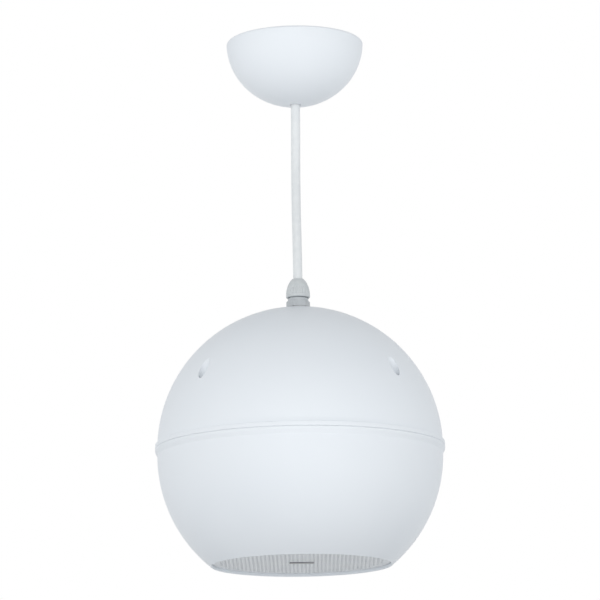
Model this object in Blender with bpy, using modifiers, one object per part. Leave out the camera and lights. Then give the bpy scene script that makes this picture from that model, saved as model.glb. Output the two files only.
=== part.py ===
"""Pendant ball loudspeaker on its cable, with its ceiling rose.

Metres, +Z up. The origin is the centre of the ceiling bracket's top face, so the
ceiling is the plane z = 0 and everything hangs below it. Front is -Y.
"""
from math import acos, asin, atan2, ceil, cos, pi, radians, sin, sqrt, tau

import bmesh
import bpy
from mathutils import Matrix, Vector

# General clearance between two pieces that touch or run in each other
CLEAR = 0.0003

# Facets round a turned piece
ROUND_LARGE = 32
ROUND_MIDDLE = 24
ROUND_SMALL = 16
ROUND_FINE = 6

# Cable
CABLE_RADIUS = 0.0039
CABLE_VISIBLE = 0.1521
CORE_RADIUS = 0.0011
LEAD_RADIUS = 0.0010

# Ceiling rose cup
ROSE_RADIUS = 0.0585
ROSE_HEIGHT = 0.0550
ROSE_WALL = 0.0022
COLLAR_HEIGHT = 0.0120
COLLAR_WALL = 0.0020
GROMMET_WALL = 0.0034

# Ceiling bracket
STRAP_THICK = 0.0015
STRAP_WIDTH = 0.0220
STRAP_INSET = 0.0063
SLOT_WIDTH = 0.0052
SLOT_LENGTH = 0.0110
SLOT_MARGIN = 0.0040
LEG_WIDTH = 0.0140
LEG_DROP = 0.0320
SADDLE_INSET = 0.0004
BEND_RADIUS = 0.0018

# Cord clamp
CLAMP_HEIGHT = 0.0100
CLAMP_BODY_DEPTH = 0.0110
CLAMP_PLATE_DEPTH = 0.0062
CLAMP_SPLIT = 0.0012
CLAMP_SCREW_RADIUS = 0.0014
CLAMP_HEAD_RADIUS = 0.0023
CLAMP_HEAD_HEIGHT = 0.0016
RIVET_RADIUS = 0.0016
RIVET_HEAD_RADIUS = 0.0023
RIVET_HEAD_HEIGHT = 0.0012
RIVET_LENGTH = 0.0048

# Terminal block
TERMINAL_LENGTH = 0.0180
TERMINAL_WIDTH = 0.0190
TERMINAL_HEIGHT = 0.0130
TERMINAL_POLE = 0.0056
TERMINAL_PORT_RADIUS = 0.0017
TERMINAL_SCREW_RADIUS = 0.0019
TERMINAL_SCREW_LENGTH = 0.0050
TERMINAL_SCREW_SPREAD = 0.0100
FIXING_RADIUS = 0.0014
FIXING_HEAD_RADIUS = 0.0026
FIXING_HEAD_HEIGHT = 0.0018

# Stripped ends of the cable
JACKET_BELOW_STRAP = 0.0125
JACKET_BELOW_GLAND = 0.0100

# Cable gland
NUT_HEIGHT = 0.0162
NUT_RADIUS = 0.01015
NUT_MOUTH_RADIUS = 0.0049
NUT_SKIRT = 0.0018
NUT_COLLAR = 0.0024
NUT_RIBS = 0.0068
NUT_FLUTES = 20
NUT_FLUTE_RADIUS = 0.0008
NUT_FLUTE_DEPTH = 0.0002
GLAND_NECK_HEIGHT = 0.0025
GLAND_NECK_RADIUS = 0.0087
GLAND_THREAD_RADIUS = 0.0074
GLAND_THREAD_WALL = 0.0028
GLAND_CLAW_HEIGHT = 0.0052
SEAL_HEIGHT = 0.0036
FLANGE_HEIGHT = 0.0054
FLANGE_ACROSS_FLATS = 0.0175
WASHER_THICK = 0.0012
WASHER_RADIUS = 0.0103
LOCKNUT_HEIGHT = 0.0050
LOCKNUT_ACROSS_FLATS = 0.0200
THREAD_BELOW_LOCKNUT = 0.0025

# Ball
BALL_RADIUS = 0.1200
SHELL_WALL = 0.0030
BAND_HEIGHT = 0.0056
PAD_RADIUS = 0.0130
PAD_THICK = 0.0040
BEAD_PROUD = 0.0018
BEAD_HALF = 0.0040
SEAM_CHAMFER = 0.0010
TONGUE_WALL = 0.0014
TONGUE_DEPTH = 0.0030

# Four screws that close the ball, sunk in wells of the upper shell, and the angle of the
# first well over the X axis
WELL_INSET = 0.0120
WELL_TURN = radians(42)
WELL_RADIUS = 0.00475
WELL_WALL = 0.0020
WELL_FLOOR = 0.0080
POST_RADIUS = 0.0060
POST_BELOW_SCREW = 0.0040
POST_WEB = 0.0030
SHELL_SCREW_RADIUS = 0.0015
SHELL_SCREW_HEAD = 0.0030
SHELL_SCREW_HEAD_HEIGHT = 0.0023
SHELL_SCREW_LENGTH = 0.0240

# Mouth of the ball and the grille in it
MOUTH_RADIUS = 0.0770
LIP_WIDTH = 0.0018
LIP_PROUD = 0.0010
THROAT_WALL = 0.0025
GRILLE_SHEET = 0.0010
GRILLE_RECESS = 0.0025
GRILLE_SKIRT = 0.0060
GRILLE_FOLD = 0.0008
GRILLE_BORDER = 0.0040
HOLE_RADIUS = 0.0048
HOLE_PITCH = 0.0135

# Loudspeaker: rings that bolt it down
DRIVER_FLANGE_WIDTH = 0.0078
DRIVER_FLANGE_ROOM = 0.0022
DRIVER_SHEET = 0.0012
GASKET_THICK = 0.0012
BOSS_RADIUS = 0.0036
BOSS_INSET = 0.0034
DRIVER_SCREW_RADIUS = 0.0014
DRIVER_SCREW_HEAD = 0.0028
DRIVER_SCREW_HEAD_HEIGHT = 0.0018
DRIVER_SCREW_LENGTH = 0.0078

# Loudspeaker: basket
BASKET_DEPTH = 0.0394
BASKET_SHOULDER = 0.0042
BASKET_REAR_RADIUS = 0.0410
BASKET_LEDGE_WIDTH = 0.0085
BASKET_STEP = 0.0050
BASKET_BORE = 0.0170
WINDOW_WIDTH = 0.0600
WINDOW_HEIGHT = 0.0200

# Loudspeaker: motor
TOP_PLATE_THICK = 0.0040
TOP_PLATE_RADIUS = 0.0360
MAGNET_THICK = 0.0130
MAGNET_RADIUS = 0.0400
MAGNET_BORE = 0.0180
BACK_PLATE_THICK = 0.0040
BACK_PLATE_RADIUS = 0.0380
COIL_RADIUS = 0.0136
COIL_WALL = 0.0007
COIL_RUN = 0.0006
COIL_ABOVE = 0.0075
COIL_BELOW = 0.0135

# Loudspeaker: what moves, and what carries it
SURROUND_LAND = 0.0044
SURROUND_ROLL = 0.0046
SURROUND_THICK = 0.0006
CONE_THICK = 0.0008
CONE_DEPTH = 0.0265
CONE_FLARE = 0.75
CONE_LAND = 0.0034
WHIZZER_DEPTH = 0.0200
WHIZZER_RADIUS = 0.0290
DUST_CAP_DEPTH = 0.0060
SPIDER_LAND = 0.0050
SPIDER_THICK = 0.0006
SPIDER_WAVE = 0.0011
SPIDER_WAVE_COUNT = 2
TAG_WIDTH = 0.0140
TAG_HEIGHT = 0.0090
TAG_THICK = 0.0020

# Line transformer, and its share of the spare height that lies above it
SPARE_ABOVE = 0.30
STUD_SPREAD = 0.0300
STUD_RADIUS = 0.0045
CORE_WIDTH = 0.0480
CORE_HEIGHT = 0.0400
CORE_STACK = 0.0180
CORE_LEG = 0.0160
FRAME_SHEET = 0.0012
FRAME_FOOT = 0.0100
BOBBIN_WALL = 0.0010
WINDING_PROUD = 0.0008
FOOT_SCREW_RADIUS = 0.0015
FOOT_SCREW_HEAD = 0.0030
FOOT_SCREW_HEAD_HEIGHT = 0.0020
FOOT_SCREW_LENGTH = 0.0095

# Places that follow from the sizes. Those of the ball are heights over the seam.
INNER_RADIUS = BALL_RADIUS - SHELL_WALL
PAD_Z = sqrt(BALL_RADIUS**2 - PAD_RADIUS**2)
PAD_UNDER_Z = PAD_Z - PAD_THICK
WASHER_Z = PAD_Z + CLEAR
FLANGE_Z = WASHER_Z + WASHER_THICK + CLEAR
NECK_Z = FLANGE_Z + FLANGE_HEIGHT
NUT_Z = NECK_Z + GLAND_NECK_HEIGHT + CLEAR
NUT_TOP_Z = NUT_Z + NUT_HEIGHT
SEAM_Z = -(ROSE_HEIGHT + CABLE_VISIBLE + NUT_TOP_Z)

CABLE_BORE = CABLE_RADIUS + CLEAR
GLAND_HOLE = GLAND_THREAD_RADIUS + CLEAR
LOCKNUT_Z = PAD_UNDER_Z - CLEAR - LOCKNUT_HEIGHT
THREAD_END_Z = LOCKNUT_Z - THREAD_BELOW_LOCKNUT
JACKET_END_Z = THREAD_END_Z - JACKET_BELOW_GLAND
JACKET_TOP_Z = -STRAP_THICK - JACKET_BELOW_STRAP

WELL_CIRCLE = INNER_RADIUS - WELL_INSET
SEAM_HALF_GAP = CLEAR / 2
REBATE_Z = -TONGUE_DEPTH - CLEAR

THROAT_RADIUS = MOUTH_RADIUS - LIP_WIDTH
LIP_Z = -BAND_HEIGHT - sqrt(BALL_RADIUS**2 - MOUTH_RADIUS**2) - LIP_PROUD
GRILLE_Z = LIP_Z + GRILLE_RECESS
GRILLE_RADIUS = THROAT_RADIUS - CLEAR
DRIVER_RADIUS = THROAT_RADIUS + DRIVER_FLANGE_WIDTH
THROAT_TOP_Z = -BAND_HEIGHT - sqrt(INNER_RADIUS**2 - (DRIVER_RADIUS + DRIVER_FLANGE_ROOM) ** 2)
GASKET_Z = THROAT_TOP_Z + CLEAR
DRIVER_Z = GASKET_Z + GASKET_THICK + CLEAR
BOSS_CIRCLE = DRIVER_RADIUS - BOSS_INSET
REAR_Z = DRIVER_Z + BASKET_DEPTH
LEDGE_Z = REAR_Z - BASKET_STEP
LEDGE_RADIUS = BASKET_REAR_RADIUS + BASKET_LEDGE_WIDTH
TOP_PLATE_Z = REAR_Z + CLEAR
MAGNET_Z = TOP_PLATE_Z + TOP_PLATE_THICK + CLEAR
BACK_PLATE_Z = MAGNET_Z + MAGNET_THICK + CLEAR
GAP_RADIUS = COIL_RADIUS + COIL_RUN
POLE_RADIUS = COIL_RADIUS - COIL_WALL - COIL_RUN
SURROUND_Z = DRIVER_Z - CLEAR
ROLL_OUTER = THROAT_RADIUS - SURROUND_LAND
ROLL_INNER = ROLL_OUTER - 2 * SURROUND_ROLL
CONE_NECK = COIL_RADIUS + CLEAR
CONE_EDGE_Z = DRIVER_Z
CONE_NECK_Z = CONE_EDGE_Z + CONE_DEPTH
COIL_END_Z = CONE_NECK_Z - 0.0010

MOTOR_TOP_Z = BACK_PLATE_Z + BACK_PLATE_THICK
SPARE_HEIGHT = JACKET_END_Z - MOTOR_TOP_Z - CORE_HEIGHT - CLEAR - FRAME_SHEET
CORE_TOP_Z = JACKET_END_Z - SPARE_ABOVE * SPARE_HEIGHT
STUD_END_Z = CORE_TOP_Z + CLEAR
FOOT_Z = STUD_END_Z - CLEAR - FRAME_SHEET
CORE_Z = CORE_TOP_Z - CORE_HEIGHT
ROOM_ABOVE = JACKET_END_Z - CORE_TOP_Z
ROOM_BELOW = SPARE_HEIGHT - ROOM_ABOVE
CORE_YOKE = CORE_LEG / 2
FRAME_INNER = CORE_WIDTH / 2 + CLEAR
WINDOW_SPAN = (CORE_WIDTH - CORE_LEG) / 2 - CORE_YOKE
BOBBIN_Z = CORE_Z + CORE_YOKE + CLEAR
BOBBIN_HEIGHT = CORE_HEIGHT - 2 * CORE_YOKE - 2 * CLEAR
BOBBIN_FLANGE = WINDOW_SPAN - 2 * CLEAR

DIAGONALS = [radians(45 + 90 * k) for k in range(4)]
WELL_ANGLES = [WELL_TURN, pi - WELL_TURN, pi + WELL_TURN, -WELL_TURN]


def new_collection(name):
    made = bpy.data.collections.new(name)
    bpy.context.scene.collection.children.link(made)
    return made


def new_material(name, colour, roughness, metallic=0.0):
    mat = bpy.data.materials.new(name)
    mat.use_nodes = True
    shader = mat.node_tree.nodes["Principled BSDF"]
    shader.inputs["Base Color"].default_value = (*colour, 1.0)
    shader.inputs["Roughness"].default_value = roughness
    shader.inputs["Metallic"].default_value = metallic
    mat.diffuse_color = (*colour, 1.0)
    return mat


def add_object(name, data, parent, home, location=(0, 0, 0)):
    obj = bpy.data.objects.new(name, data)
    home.objects.link(obj)
    obj.parent = parent
    obj.location = location
    return obj


def settle(obj, mat=None):
    """Turn an object's evaluated shape into its plain, welded and smoothly shaded mesh."""
    bpy.context.view_layer.update()
    graph = bpy.context.evaluated_depsgraph_get()
    mesh = bpy.data.meshes.new_from_object(obj.evaluated_get(graph))
    shape = bmesh.new()
    shape.from_mesh(mesh)
    bmesh.ops.remove_doubles(shape, verts=shape.verts, dist=1e-6)
    shape.to_mesh(mesh)
    shape.free()
    mesh.shade_smooth()
    mesh.set_sharp_from_angle(angle=radians(32))
    mesh.materials.clear()
    if mat:
        mesh.materials.append(mat)
    plain = bpy.data.objects.new("plain", mesh)
    for home in obj.users_collection:
        home.objects.link(plain)
    plain.parent, plain.matrix_local = obj.parent, obj.matrix_local.copy()
    plain.hide_render, plain.display_type = obj.hide_render, obj.display_type
    name = obj.name
    bpy.data.objects.remove(obj)
    plain.name = mesh.name = name
    return plain


def turned(name, profile, steps, parent, home, closed=True):
    """A profile of (radius, height) points, down its outer side, turned about Z."""
    shape = bmesh.new()
    verts = [shape.verts.new((r, 0.0, z)) for r, z in profile]
    for a, b in zip(verts, verts[1:]):
        shape.edges.new((a, b))
    if closed:
        shape.edges.new((verts[-1], verts[0]))
    mesh = bpy.data.meshes.new(name)
    shape.to_mesh(mesh)
    shape.free()
    obj = add_object(name, mesh, parent, home)
    screw = obj.modifiers.new("Turn", "SCREW")
    screw.steps = screw.render_steps = steps
    screw.use_merge_vertices = True
    screw.merge_threshold = 1e-6
    return obj


def solid_of_rods(name, rods, parent, home):
    """Round rods in one mesh: each is (start, end, radius, sides)."""
    shape = bmesh.new()
    for start, end, radius, sides in rods:
        start, end = Vector(start), Vector(end)
        along = end - start
        turn = Vector((0, 0, 1)).rotation_difference(along).to_matrix().to_4x4()
        place = Matrix.Translation((start + end) / 2) @ turn
        bmesh.ops.create_cone(shape, cap_ends=True, segments=sides, radius1=radius,
                              radius2=radius, depth=along.length, matrix=place)
    mesh = bpy.data.meshes.new(name)
    shape.to_mesh(mesh)
    shape.free()
    return add_object(name, mesh, parent, home)


def solid_of_boxes(name, boxes, parent, home):
    """Boxes in one mesh: each is (low corner, high corner, turn about Z)."""
    shape = bmesh.new()
    for low, high, turn in boxes:
        low, high = Vector(low), Vector(high)
        size = Matrix.Diagonal((*(high - low), 1.0))
        place = Matrix.Rotation(turn, 4, "Z") @ Matrix.Translation((low + high) / 2) @ size
        bmesh.ops.create_cube(shape, size=1.0, matrix=place)
    mesh = bpy.data.meshes.new(name)
    shape.to_mesh(mesh)
    shape.free()
    return add_object(name, mesh, parent, home)


def flat_plate(name, outlines, thickness, parent, home):
    """A flat outline, with further outlines as holes in it, given a thickness about z = 0."""
    curve = bpy.data.curves.new(name, "CURVE")
    curve.dimensions = "2D"
    curve.fill_mode = "BOTH"
    curve.extrude = thickness / 2
    curve.resolution_u = 1
    for outline in outlines:
        spline = curve.splines.new("POLY")
        spline.points.add(len(outline) - 1)
        for point, (x, y) in zip(spline.points, outline):
            point.co = (x, y, 0.0, 1.0)
        spline.use_cyclic_u = True
    return add_object(name, curve, parent, home)


def smooth_route(points, spacing):
    """Points read at an even spacing from a smooth curve through the given ones."""
    knots = [Vector(p) for p in points]
    knots = [2 * knots[0] - knots[1], *knots, 2 * knots[-1] - knots[-2]]
    dense = []
    for p0, p1, p2, p3 in zip(knots, knots[1:], knots[2:], knots[3:]):
        for k in range(24):
            t = k / 24
            dense.append(0.5 * (2 * p1 + (p2 - p0) * t + (2 * p0 - 5 * p1 + 4 * p2 - p3) * t**2
                                + (3 * p1 - p0 - 3 * p2 + p3) * t**3))
    dense.append(knots[-2])
    run = [0.0]
    for a, b in zip(dense, dense[1:]):
        run.append(run[-1] + (b - a).length)
    count = max(3, round(run[-1] / spacing))
    route, k = [], 0
    for step in range(count):
        want = run[-1] * step / count
        while run[k + 1] < want:
            k += 1
        share = (want - run[k]) / (run[k + 1] - run[k])
        route.append(dense[k].lerp(dense[k + 1], share))
    return route + [dense[-1]]


def tube(name, route, radius, parent, home, resolution=2):
    curve = bpy.data.curves.new(name, "CURVE")
    curve.dimensions = "3D"
    curve.bevel_depth = radius
    curve.bevel_resolution = resolution
    curve.resolution_u = 1
    curve.use_fill_caps = True
    spline = curve.splines.new("POLY")
    spline.points.add(len(route) - 1)
    for point, place in zip(spline.points, route):
        point.co = (*place, 1.0)
    return add_object(name, curve, parent, home)


def combine(obj, other, operation):
    """Boolean with another object, which is then kept as a hidden guide."""
    step = obj.modifiers.new(operation.title(), "BOOLEAN")
    step.operation = operation
    step.solver = "EXACT"
    step.object = other
    other.hide_render = True
    other.display_type = "WIRE"
    return obj


def arc(radius, start, end, step, centre_z=0.0):
    """Points of a circle about (0, centre_z), angles up from the horizontal, ends included."""
    count = max(1, ceil(abs(end - start) / step))
    angles = [start + (end - start) * k / count for k in range(count + 1)]
    return [(radius * cos(a), centre_z + radius * sin(a)) for a in angles]


def hexagon(across_flats, turn=0.0):
    reach = across_flats / sqrt(3)
    return [(reach * cos(turn + k * pi / 3), reach * sin(turn + k * pi / 3)) for k in range(6)]


def circle(radius, sides, centre=(0.0, 0.0)):
    return [(centre[0] + radius * cos(k * tau / sides), centre[1] + radius * sin(k * tau / sides))
            for k in range(sides)]


def rectangle(x0, x1, y0, y1):
    return [(x0, y0), (x1, y0), (x1, y1), (x0, y1)]


def slot_outline(x0, x1, width, sides=8):
    """A slot along X from x0 to x1 with round ends."""
    r = width / 2
    right = [(x1 - r + r * sin(pi * k / sides), -r * cos(pi * k / sides)) for k in range(sides + 1)]
    left = [(x0 + r - r * sin(pi * k / sides), r * cos(pi * k / sides)) for k in range(sides + 1)]
    return right + left


def screw_rod(name, tip, head_at, head_radius, head_height, radius, mat, parent, home):
    """A screw from its tip to the seat of its head, the head beyond, turned in one piece."""
    tip, head_at = Vector(tip), Vector(head_at)
    length = (head_at - tip).length
    top = length + head_height
    profile = [(0, top), (head_radius * 0.8, top), (head_radius, length), (radius, length),
               (radius, 0), (0, 0)]
    obj = turned(name, profile, ROUND_FINE, parent, home, closed=False)
    turn = Vector((0, 0, 1)).rotation_difference(head_at - tip).to_matrix().to_4x4()
    obj.matrix_local = Matrix.Translation(tip) @ turn
    return settle(obj, mat)


def ceiling_bracket(parts, guides, rose, steel):
    """Steel strap with two fixing slots, and a folded saddle whose legs hold the clamp."""
    half = ROSE_RADIUS - ROSE_WALL - STRAP_INSET
    corner = 0.003
    outline = [(x, y) for cx, cy, first in (
        (half - corner, STRAP_WIDTH / 2 - corner, 0), (corner - half, STRAP_WIDTH / 2 - corner, 1),
        (corner - half, corner - STRAP_WIDTH / 2, 2), (half - corner, corner - STRAP_WIDTH / 2, 3))
        for x, y in [(cx + corner * cos(pi / 2 * (first + k / 3)),
                      cy + corner * sin(pi / 2 * (first + k / 3))) for k in range(4)]]
    slot_end = half - SLOT_MARGIN
    slots = [slot_outline(slot_end - SLOT_LENGTH, slot_end, SLOT_WIDTH, 6),
             slot_outline(-slot_end, SLOT_LENGTH - slot_end, SLOT_WIDTH, 6)]
    hole_x = terminal_centre()
    slots.append(circle(FIXING_RADIUS + CLEAR, ROUND_FINE, (hole_x, 0)))
    strap = flat_plate("ceiling_bracket", [outline], STRAP_THICK, rose, parts)
    slots = flat_plate("bracket_slots", slots, 3 * STRAP_THICK, rose, guides)
    strap.location.z = slots.location.z = -STRAP_THICK / 2
    strap, slots = settle(strap), settle(slots)

    reach = saddle_half()
    section = [(reach, -LEG_DROP)]
    web = -STRAP_THICK / 2
    section += [(reach - BEND_RADIUS + BEND_RADIUS * cos(a), web + BEND_RADIUS * (sin(a) - 1))
                for a in [radians(30 * k) for k in range(4)]]
    section += [(-y, z) for y, z in reversed(section)]
    inner = BEND_RADIUS - STRAP_THICK
    section += [(STRAP_THICK - reach, -LEG_DROP), (STRAP_THICK - reach, -STRAP_THICK - inner),
                (reach - STRAP_THICK, -STRAP_THICK - inner), (reach - STRAP_THICK, -LEG_DROP)]
    saddle = flat_plate("bracket_saddle", [section], LEG_WIDTH, rose, guides)
    saddle.rotation_euler = (radians(90), 0, radians(90))
    saddle = settle(saddle)
    holes = solid_of_rods("bracket_rivet_holes", [
        ((rivet_x(), -reach - 0.001, rivet_z()), (rivet_x(), reach + 0.001, rivet_z()),
         RIVET_RADIUS + CLEAR, ROUND_FINE)], rose, guides)
    combine(strap, saddle, "UNION")
    combine(strap, slots, "DIFFERENCE")
    combine(strap, holes, "DIFFERENCE")
    settle(strap, steel)


def saddle_half():
    return STRAP_WIDTH / 2 - SADDLE_INSET


def terminal_centre():
    return LEG_WIDTH / 2 + 0.0070 + TERMINAL_LENGTH / 2


def clamp_top():
    return CLAMP_HEIGHT - LEG_DROP


def rivet_x():
    return -CLAMP_BODY_DEPTH / 2


def rivet_z():
    return RIVET_HEAD_RADIUS + CLEAR - LEG_DROP


def clamp_screw_z():
    return clamp_top() - CLAMP_HEAD_RADIUS - CLEAR


def clamp_screw_y():
    inside = saddle_half() - STRAP_THICK - CLEAR
    return (CABLE_BORE + inside) / 2


def cord_clamp(parts, guides, rose, nylon, steel):
    """Two nylon jaws between the saddle's legs, screwed together across the cable."""
    inside = saddle_half() - STRAP_THICK - CLEAR
    top, bottom = clamp_top(), -LEG_DROP
    split = CLAMP_SPLIT / 2
    body = solid_of_boxes("cord_clamp_body", [
        ((-CLAMP_BODY_DEPTH, -inside, bottom), (-split, inside, top), 0)], rose, parts)
    plate = solid_of_boxes("cord_clamp_plate", [
        ((split, -inside, bottom), (CLAMP_PLATE_DEPTH, inside, top), 0)], rose, parts)
    bore = solid_of_rods("clamp_bore", [
        ((0, 0, bottom - 0.001), (0, 0, top + 0.001), CABLE_BORE, 12)], rose, guides)
    y = clamp_screw_y()
    z = clamp_screw_z()
    deep = CLAMP_BODY_DEPTH * 0.75
    screw_holes = solid_of_rods("clamp_screw_holes", [
        ((-deep, side * y, z), (CLAMP_PLATE_DEPTH + 0.001, side * y, z),
         CLAMP_SCREW_RADIUS + CLEAR, ROUND_FINE) for side in (-1, 1)], rose, guides)
    rivet_holes = solid_of_rods("clamp_rivet_holes", [
        ((rivet_x(), side * (inside + 0.001), rivet_z()),
         (rivet_x(), side * (inside - RIVET_LENGTH + STRAP_THICK), rivet_z()),
         RIVET_RADIUS + CLEAR, ROUND_FINE) for side in (-1, 1)], rose, guides)
    for jaw in (body, plate):
        combine(jaw, bore, "DIFFERENCE")
        combine(jaw, screw_holes, "DIFFERENCE")
    combine(body, rivet_holes, "DIFFERENCE")
    settle(body, nylon)
    settle(plate, nylon)
    for k, side in enumerate((-1, 1), 1):
        screw_rod(f"cord_clamp_screw_{k}", (CLEAR - deep, side * y, z),
                  (CLAMP_PLATE_DEPTH + CLEAR, side * y, z), CLAMP_HEAD_RADIUS,
                  CLAMP_HEAD_HEIGHT, CLAMP_SCREW_RADIUS, steel, rose, parts)
        outside = saddle_half() + CLEAR
        screw_rod(f"clamp_rivet_{k}", (rivet_x(), side * (outside - RIVET_LENGTH + CLEAR), rivet_z()),
                  (rivet_x(), side * outside, rivet_z()), RIVET_HEAD_RADIUS, RIVET_HEAD_HEIGHT,
                  RIVET_RADIUS, steel, rose, parts)


def terminal_block(parts, guides, rose, nylon, brass, steel):
    """Two-pole screw terminal under the strap, wire entries along X, screws from below."""
    x = terminal_centre()
    top = -STRAP_THICK - CLEAR
    bottom = top - TERMINAL_HEIGHT
    port_z = terminal_port_z()
    block = solid_of_boxes("terminal_block", [
        ((x - TERMINAL_LENGTH / 2, -TERMINAL_WIDTH / 2, bottom),
         (x + TERMINAL_LENGTH / 2, TERMINAL_WIDTH / 2, top), 0)], rose, parts)
    waist = solid_of_boxes("terminal_waist", [
        ((x - TERMINAL_LENGTH, -TERMINAL_POLE / 4, bottom - 0.001),
         (x - TERMINAL_LENGTH / 4, TERMINAL_POLE / 4, top + 0.001), 0),
        ((x + TERMINAL_LENGTH / 4, -TERMINAL_POLE / 4, bottom - 0.001),
         (x + TERMINAL_LENGTH, TERMINAL_POLE / 4, top + 0.001), 0)], rose, guides)
    ports = solid_of_rods("terminal_ports", [
        ((x - TERMINAL_LENGTH, side * TERMINAL_POLE, port_z),
         (x + TERMINAL_LENGTH, side * TERMINAL_POLE, port_z),
         TERMINAL_PORT_RADIUS, ROUND_FINE) for side in (-1, 1)], rose, guides)
    half = TERMINAL_SCREW_SPREAD / 2
    places = [(x + dx * half, dy * TERMINAL_POLE) for dx in (-1, 1) for dy in (-1, 1)]
    wells = solid_of_rods("terminal_wells", [
        ((px, py, bottom - 0.001), (px, py, port_z), TERMINAL_SCREW_RADIUS + CLEAR, ROUND_FINE)
        for px, py in places], rose, guides)
    fixing = solid_of_rods("terminal_fixing_hole", [
        ((x, 0, bottom - 0.001), (x, 0, top + 0.001), FIXING_RADIUS + CLEAR, ROUND_FINE)],
        rose, guides)
    for guide in (waist, ports, wells, fixing):
        combine(block, guide, "DIFFERENCE")
    settle(block, nylon)
    for k, (px, py) in enumerate(places, 1):
        seat = port_z - CORE_RADIUS - CLEAR
        profile = [(0, seat), (TERMINAL_SCREW_RADIUS, seat),
                   (TERMINAL_SCREW_RADIUS, seat - TERMINAL_SCREW_LENGTH),
                   (0, seat - TERMINAL_SCREW_LENGTH)]
        screw = turned(f"terminal_screw_{k}", profile, ROUND_FINE, rose, parts, closed=False)
        screw.location = (px, py, 0)
        settle(screw, brass)
    screw_rod("terminal_fixing_screw", (x, 0, 0), (x, 0, bottom - CLEAR), FIXING_HEAD_RADIUS,
              FIXING_HEAD_HEIGHT, FIXING_RADIUS, steel, rose, parts)


def terminal_port_z():
    return -STRAP_THICK - CLEAR - TERMINAL_HEIGHT * 0.42


def rose_cup(parts, guides, rose, plastic, rubber):
    """Half-ellipsoid cup with a collar inside its pole, which holds the friction grommet."""
    inner_r, inner_h = ROSE_RADIUS - ROSE_WALL, ROSE_HEIGHT - ROSE_WALL
    hole = CABLE_BORE + CLEAR
    collar_in = CABLE_BORE + GROMMET_WALL + CLEAR
    collar_out = collar_in + COLLAR_WALL
    edge = 0.0012

    def ellipse(radius, height, start, end, count):
        angles = [start + (end - start) * k / count for k in range(count + 1)]
        return [(radius * cos(a), -height * sin(a)) for a in angles]

    profile = [(inner_r, 0), (ROSE_RADIUS - edge, 0)]
    profile += ellipse(ROSE_RADIUS, ROSE_HEIGHT, asin(edge / ROSE_HEIGHT),
                       acos(hole / ROSE_RADIUS), 9)
    floor = -inner_h * sqrt(1 - (collar_out / inner_r) ** 2)
    top = COLLAR_HEIGHT - inner_h
    profile += [(hole, -inner_h), (collar_in, -inner_h), (collar_in, top), (collar_out, top),
                (collar_out, floor)]
    profile += ellipse(inner_r, inner_h, acos(collar_out / inner_r), 0, 6)[1:-1]
    cup = turned("rose_cup", profile, ROUND_LARGE, rose, parts)
    settle(cup, plastic)

    low = CLEAR - inner_h
    shoulder = collar_in - CLEAR
    grommet = [(CABLE_BORE, top - CLEAR), (shoulder - 0.0008, top - CLEAR), (shoulder, top - 0.0012),
               (shoulder, low), (CABLE_BORE, low)]
    settle(turned("rose_grommet", grommet, ROUND_SMALL, rose, parts), rubber)


def cable_and_cores(parts, rose, ball, jacket, live, neutral):
    """The jacketed cable from the terminal to the transformer, and its two cores at each end."""
    low = SEAM_Z + JACKET_END_Z
    route = smooth_route([(0, 0, JACKET_TOP_Z), (0, 0, (JACKET_TOP_Z + low) / 2), (0, 0, low)], 0.024)
    settle(tube("pendant_cable", route, CABLE_RADIUS, rose, parts, 4), jacket)
    face = terminal_centre() - TERMINAL_LENGTH / 2
    for name, side, mat in (("a", 1, live), ("b", -1, neutral)):
        z = terminal_port_z()
        route = smooth_route([
            (0, side * 0.0018, JACKET_TOP_Z + CLEAR), (0.0006, side * 0.0022, JACKET_TOP_Z + 0.004),
            (0.0040, side * 0.0042, z), (face - 0.003, side * TERMINAL_POLE, z),
            (face + 0.0030, side * TERMINAL_POLE, z)], 0.0030)
        settle(tube(f"rose_core_{name}", route, CORE_RADIUS, rose, parts), mat)
        end_z = BOBBIN_Z + BOBBIN_HEIGHT + CLEAR
        pin_y = bobbin_half_y() - 0.0030
        route = smooth_route([
            (side * 0.0018, 0, JACKET_END_Z - CLEAR),
            (side * 0.0024, 0.0015, JACKET_END_Z - 0.26 * ROOM_ABOVE),
            (side * 0.0050, pin_y * 0.7, CORE_TOP_Z + 0.43 * ROOM_ABOVE),
            (side * 0.0060, pin_y, CORE_TOP_Z + 0.09 * ROOM_ABOVE),
            (side * 0.0060, pin_y, end_z)], 0.0055)
        settle(tube(f"ball_core_{name}", route, CORE_RADIUS, ball, parts), mat)
        tag_x = tag_radius() + TAG_THICK / 2
        lane_y = -pin_y - (1 - side) * 1.5 * LEAD_RADIUS
        route = smooth_route([
            (side * 0.0060, -pin_y, BOBBIN_Z - CLEAR),
            (side * 0.0070, lane_y, CORE_Z - 0.04 * ROOM_BELOW),
            (0.0200 + side * 0.0030, lane_y, CORE_Z - 0.25 * ROOM_BELOW),
            (tag_x, side * 0.0045 - 0.0030, MOTOR_TOP_Z + 0.15 * ROOM_BELOW),
            (tag_x, side * 0.0045, LEDGE_Z + TAG_HEIGHT + 0.012),
            (tag_x, side * 0.0045, LEDGE_Z + 2 * CLEAR + TAG_HEIGHT)], 0.0090)
        settle(tube(f"speaker_lead_{name}", route, LEAD_RADIUS, ball, parts), mat)


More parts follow.
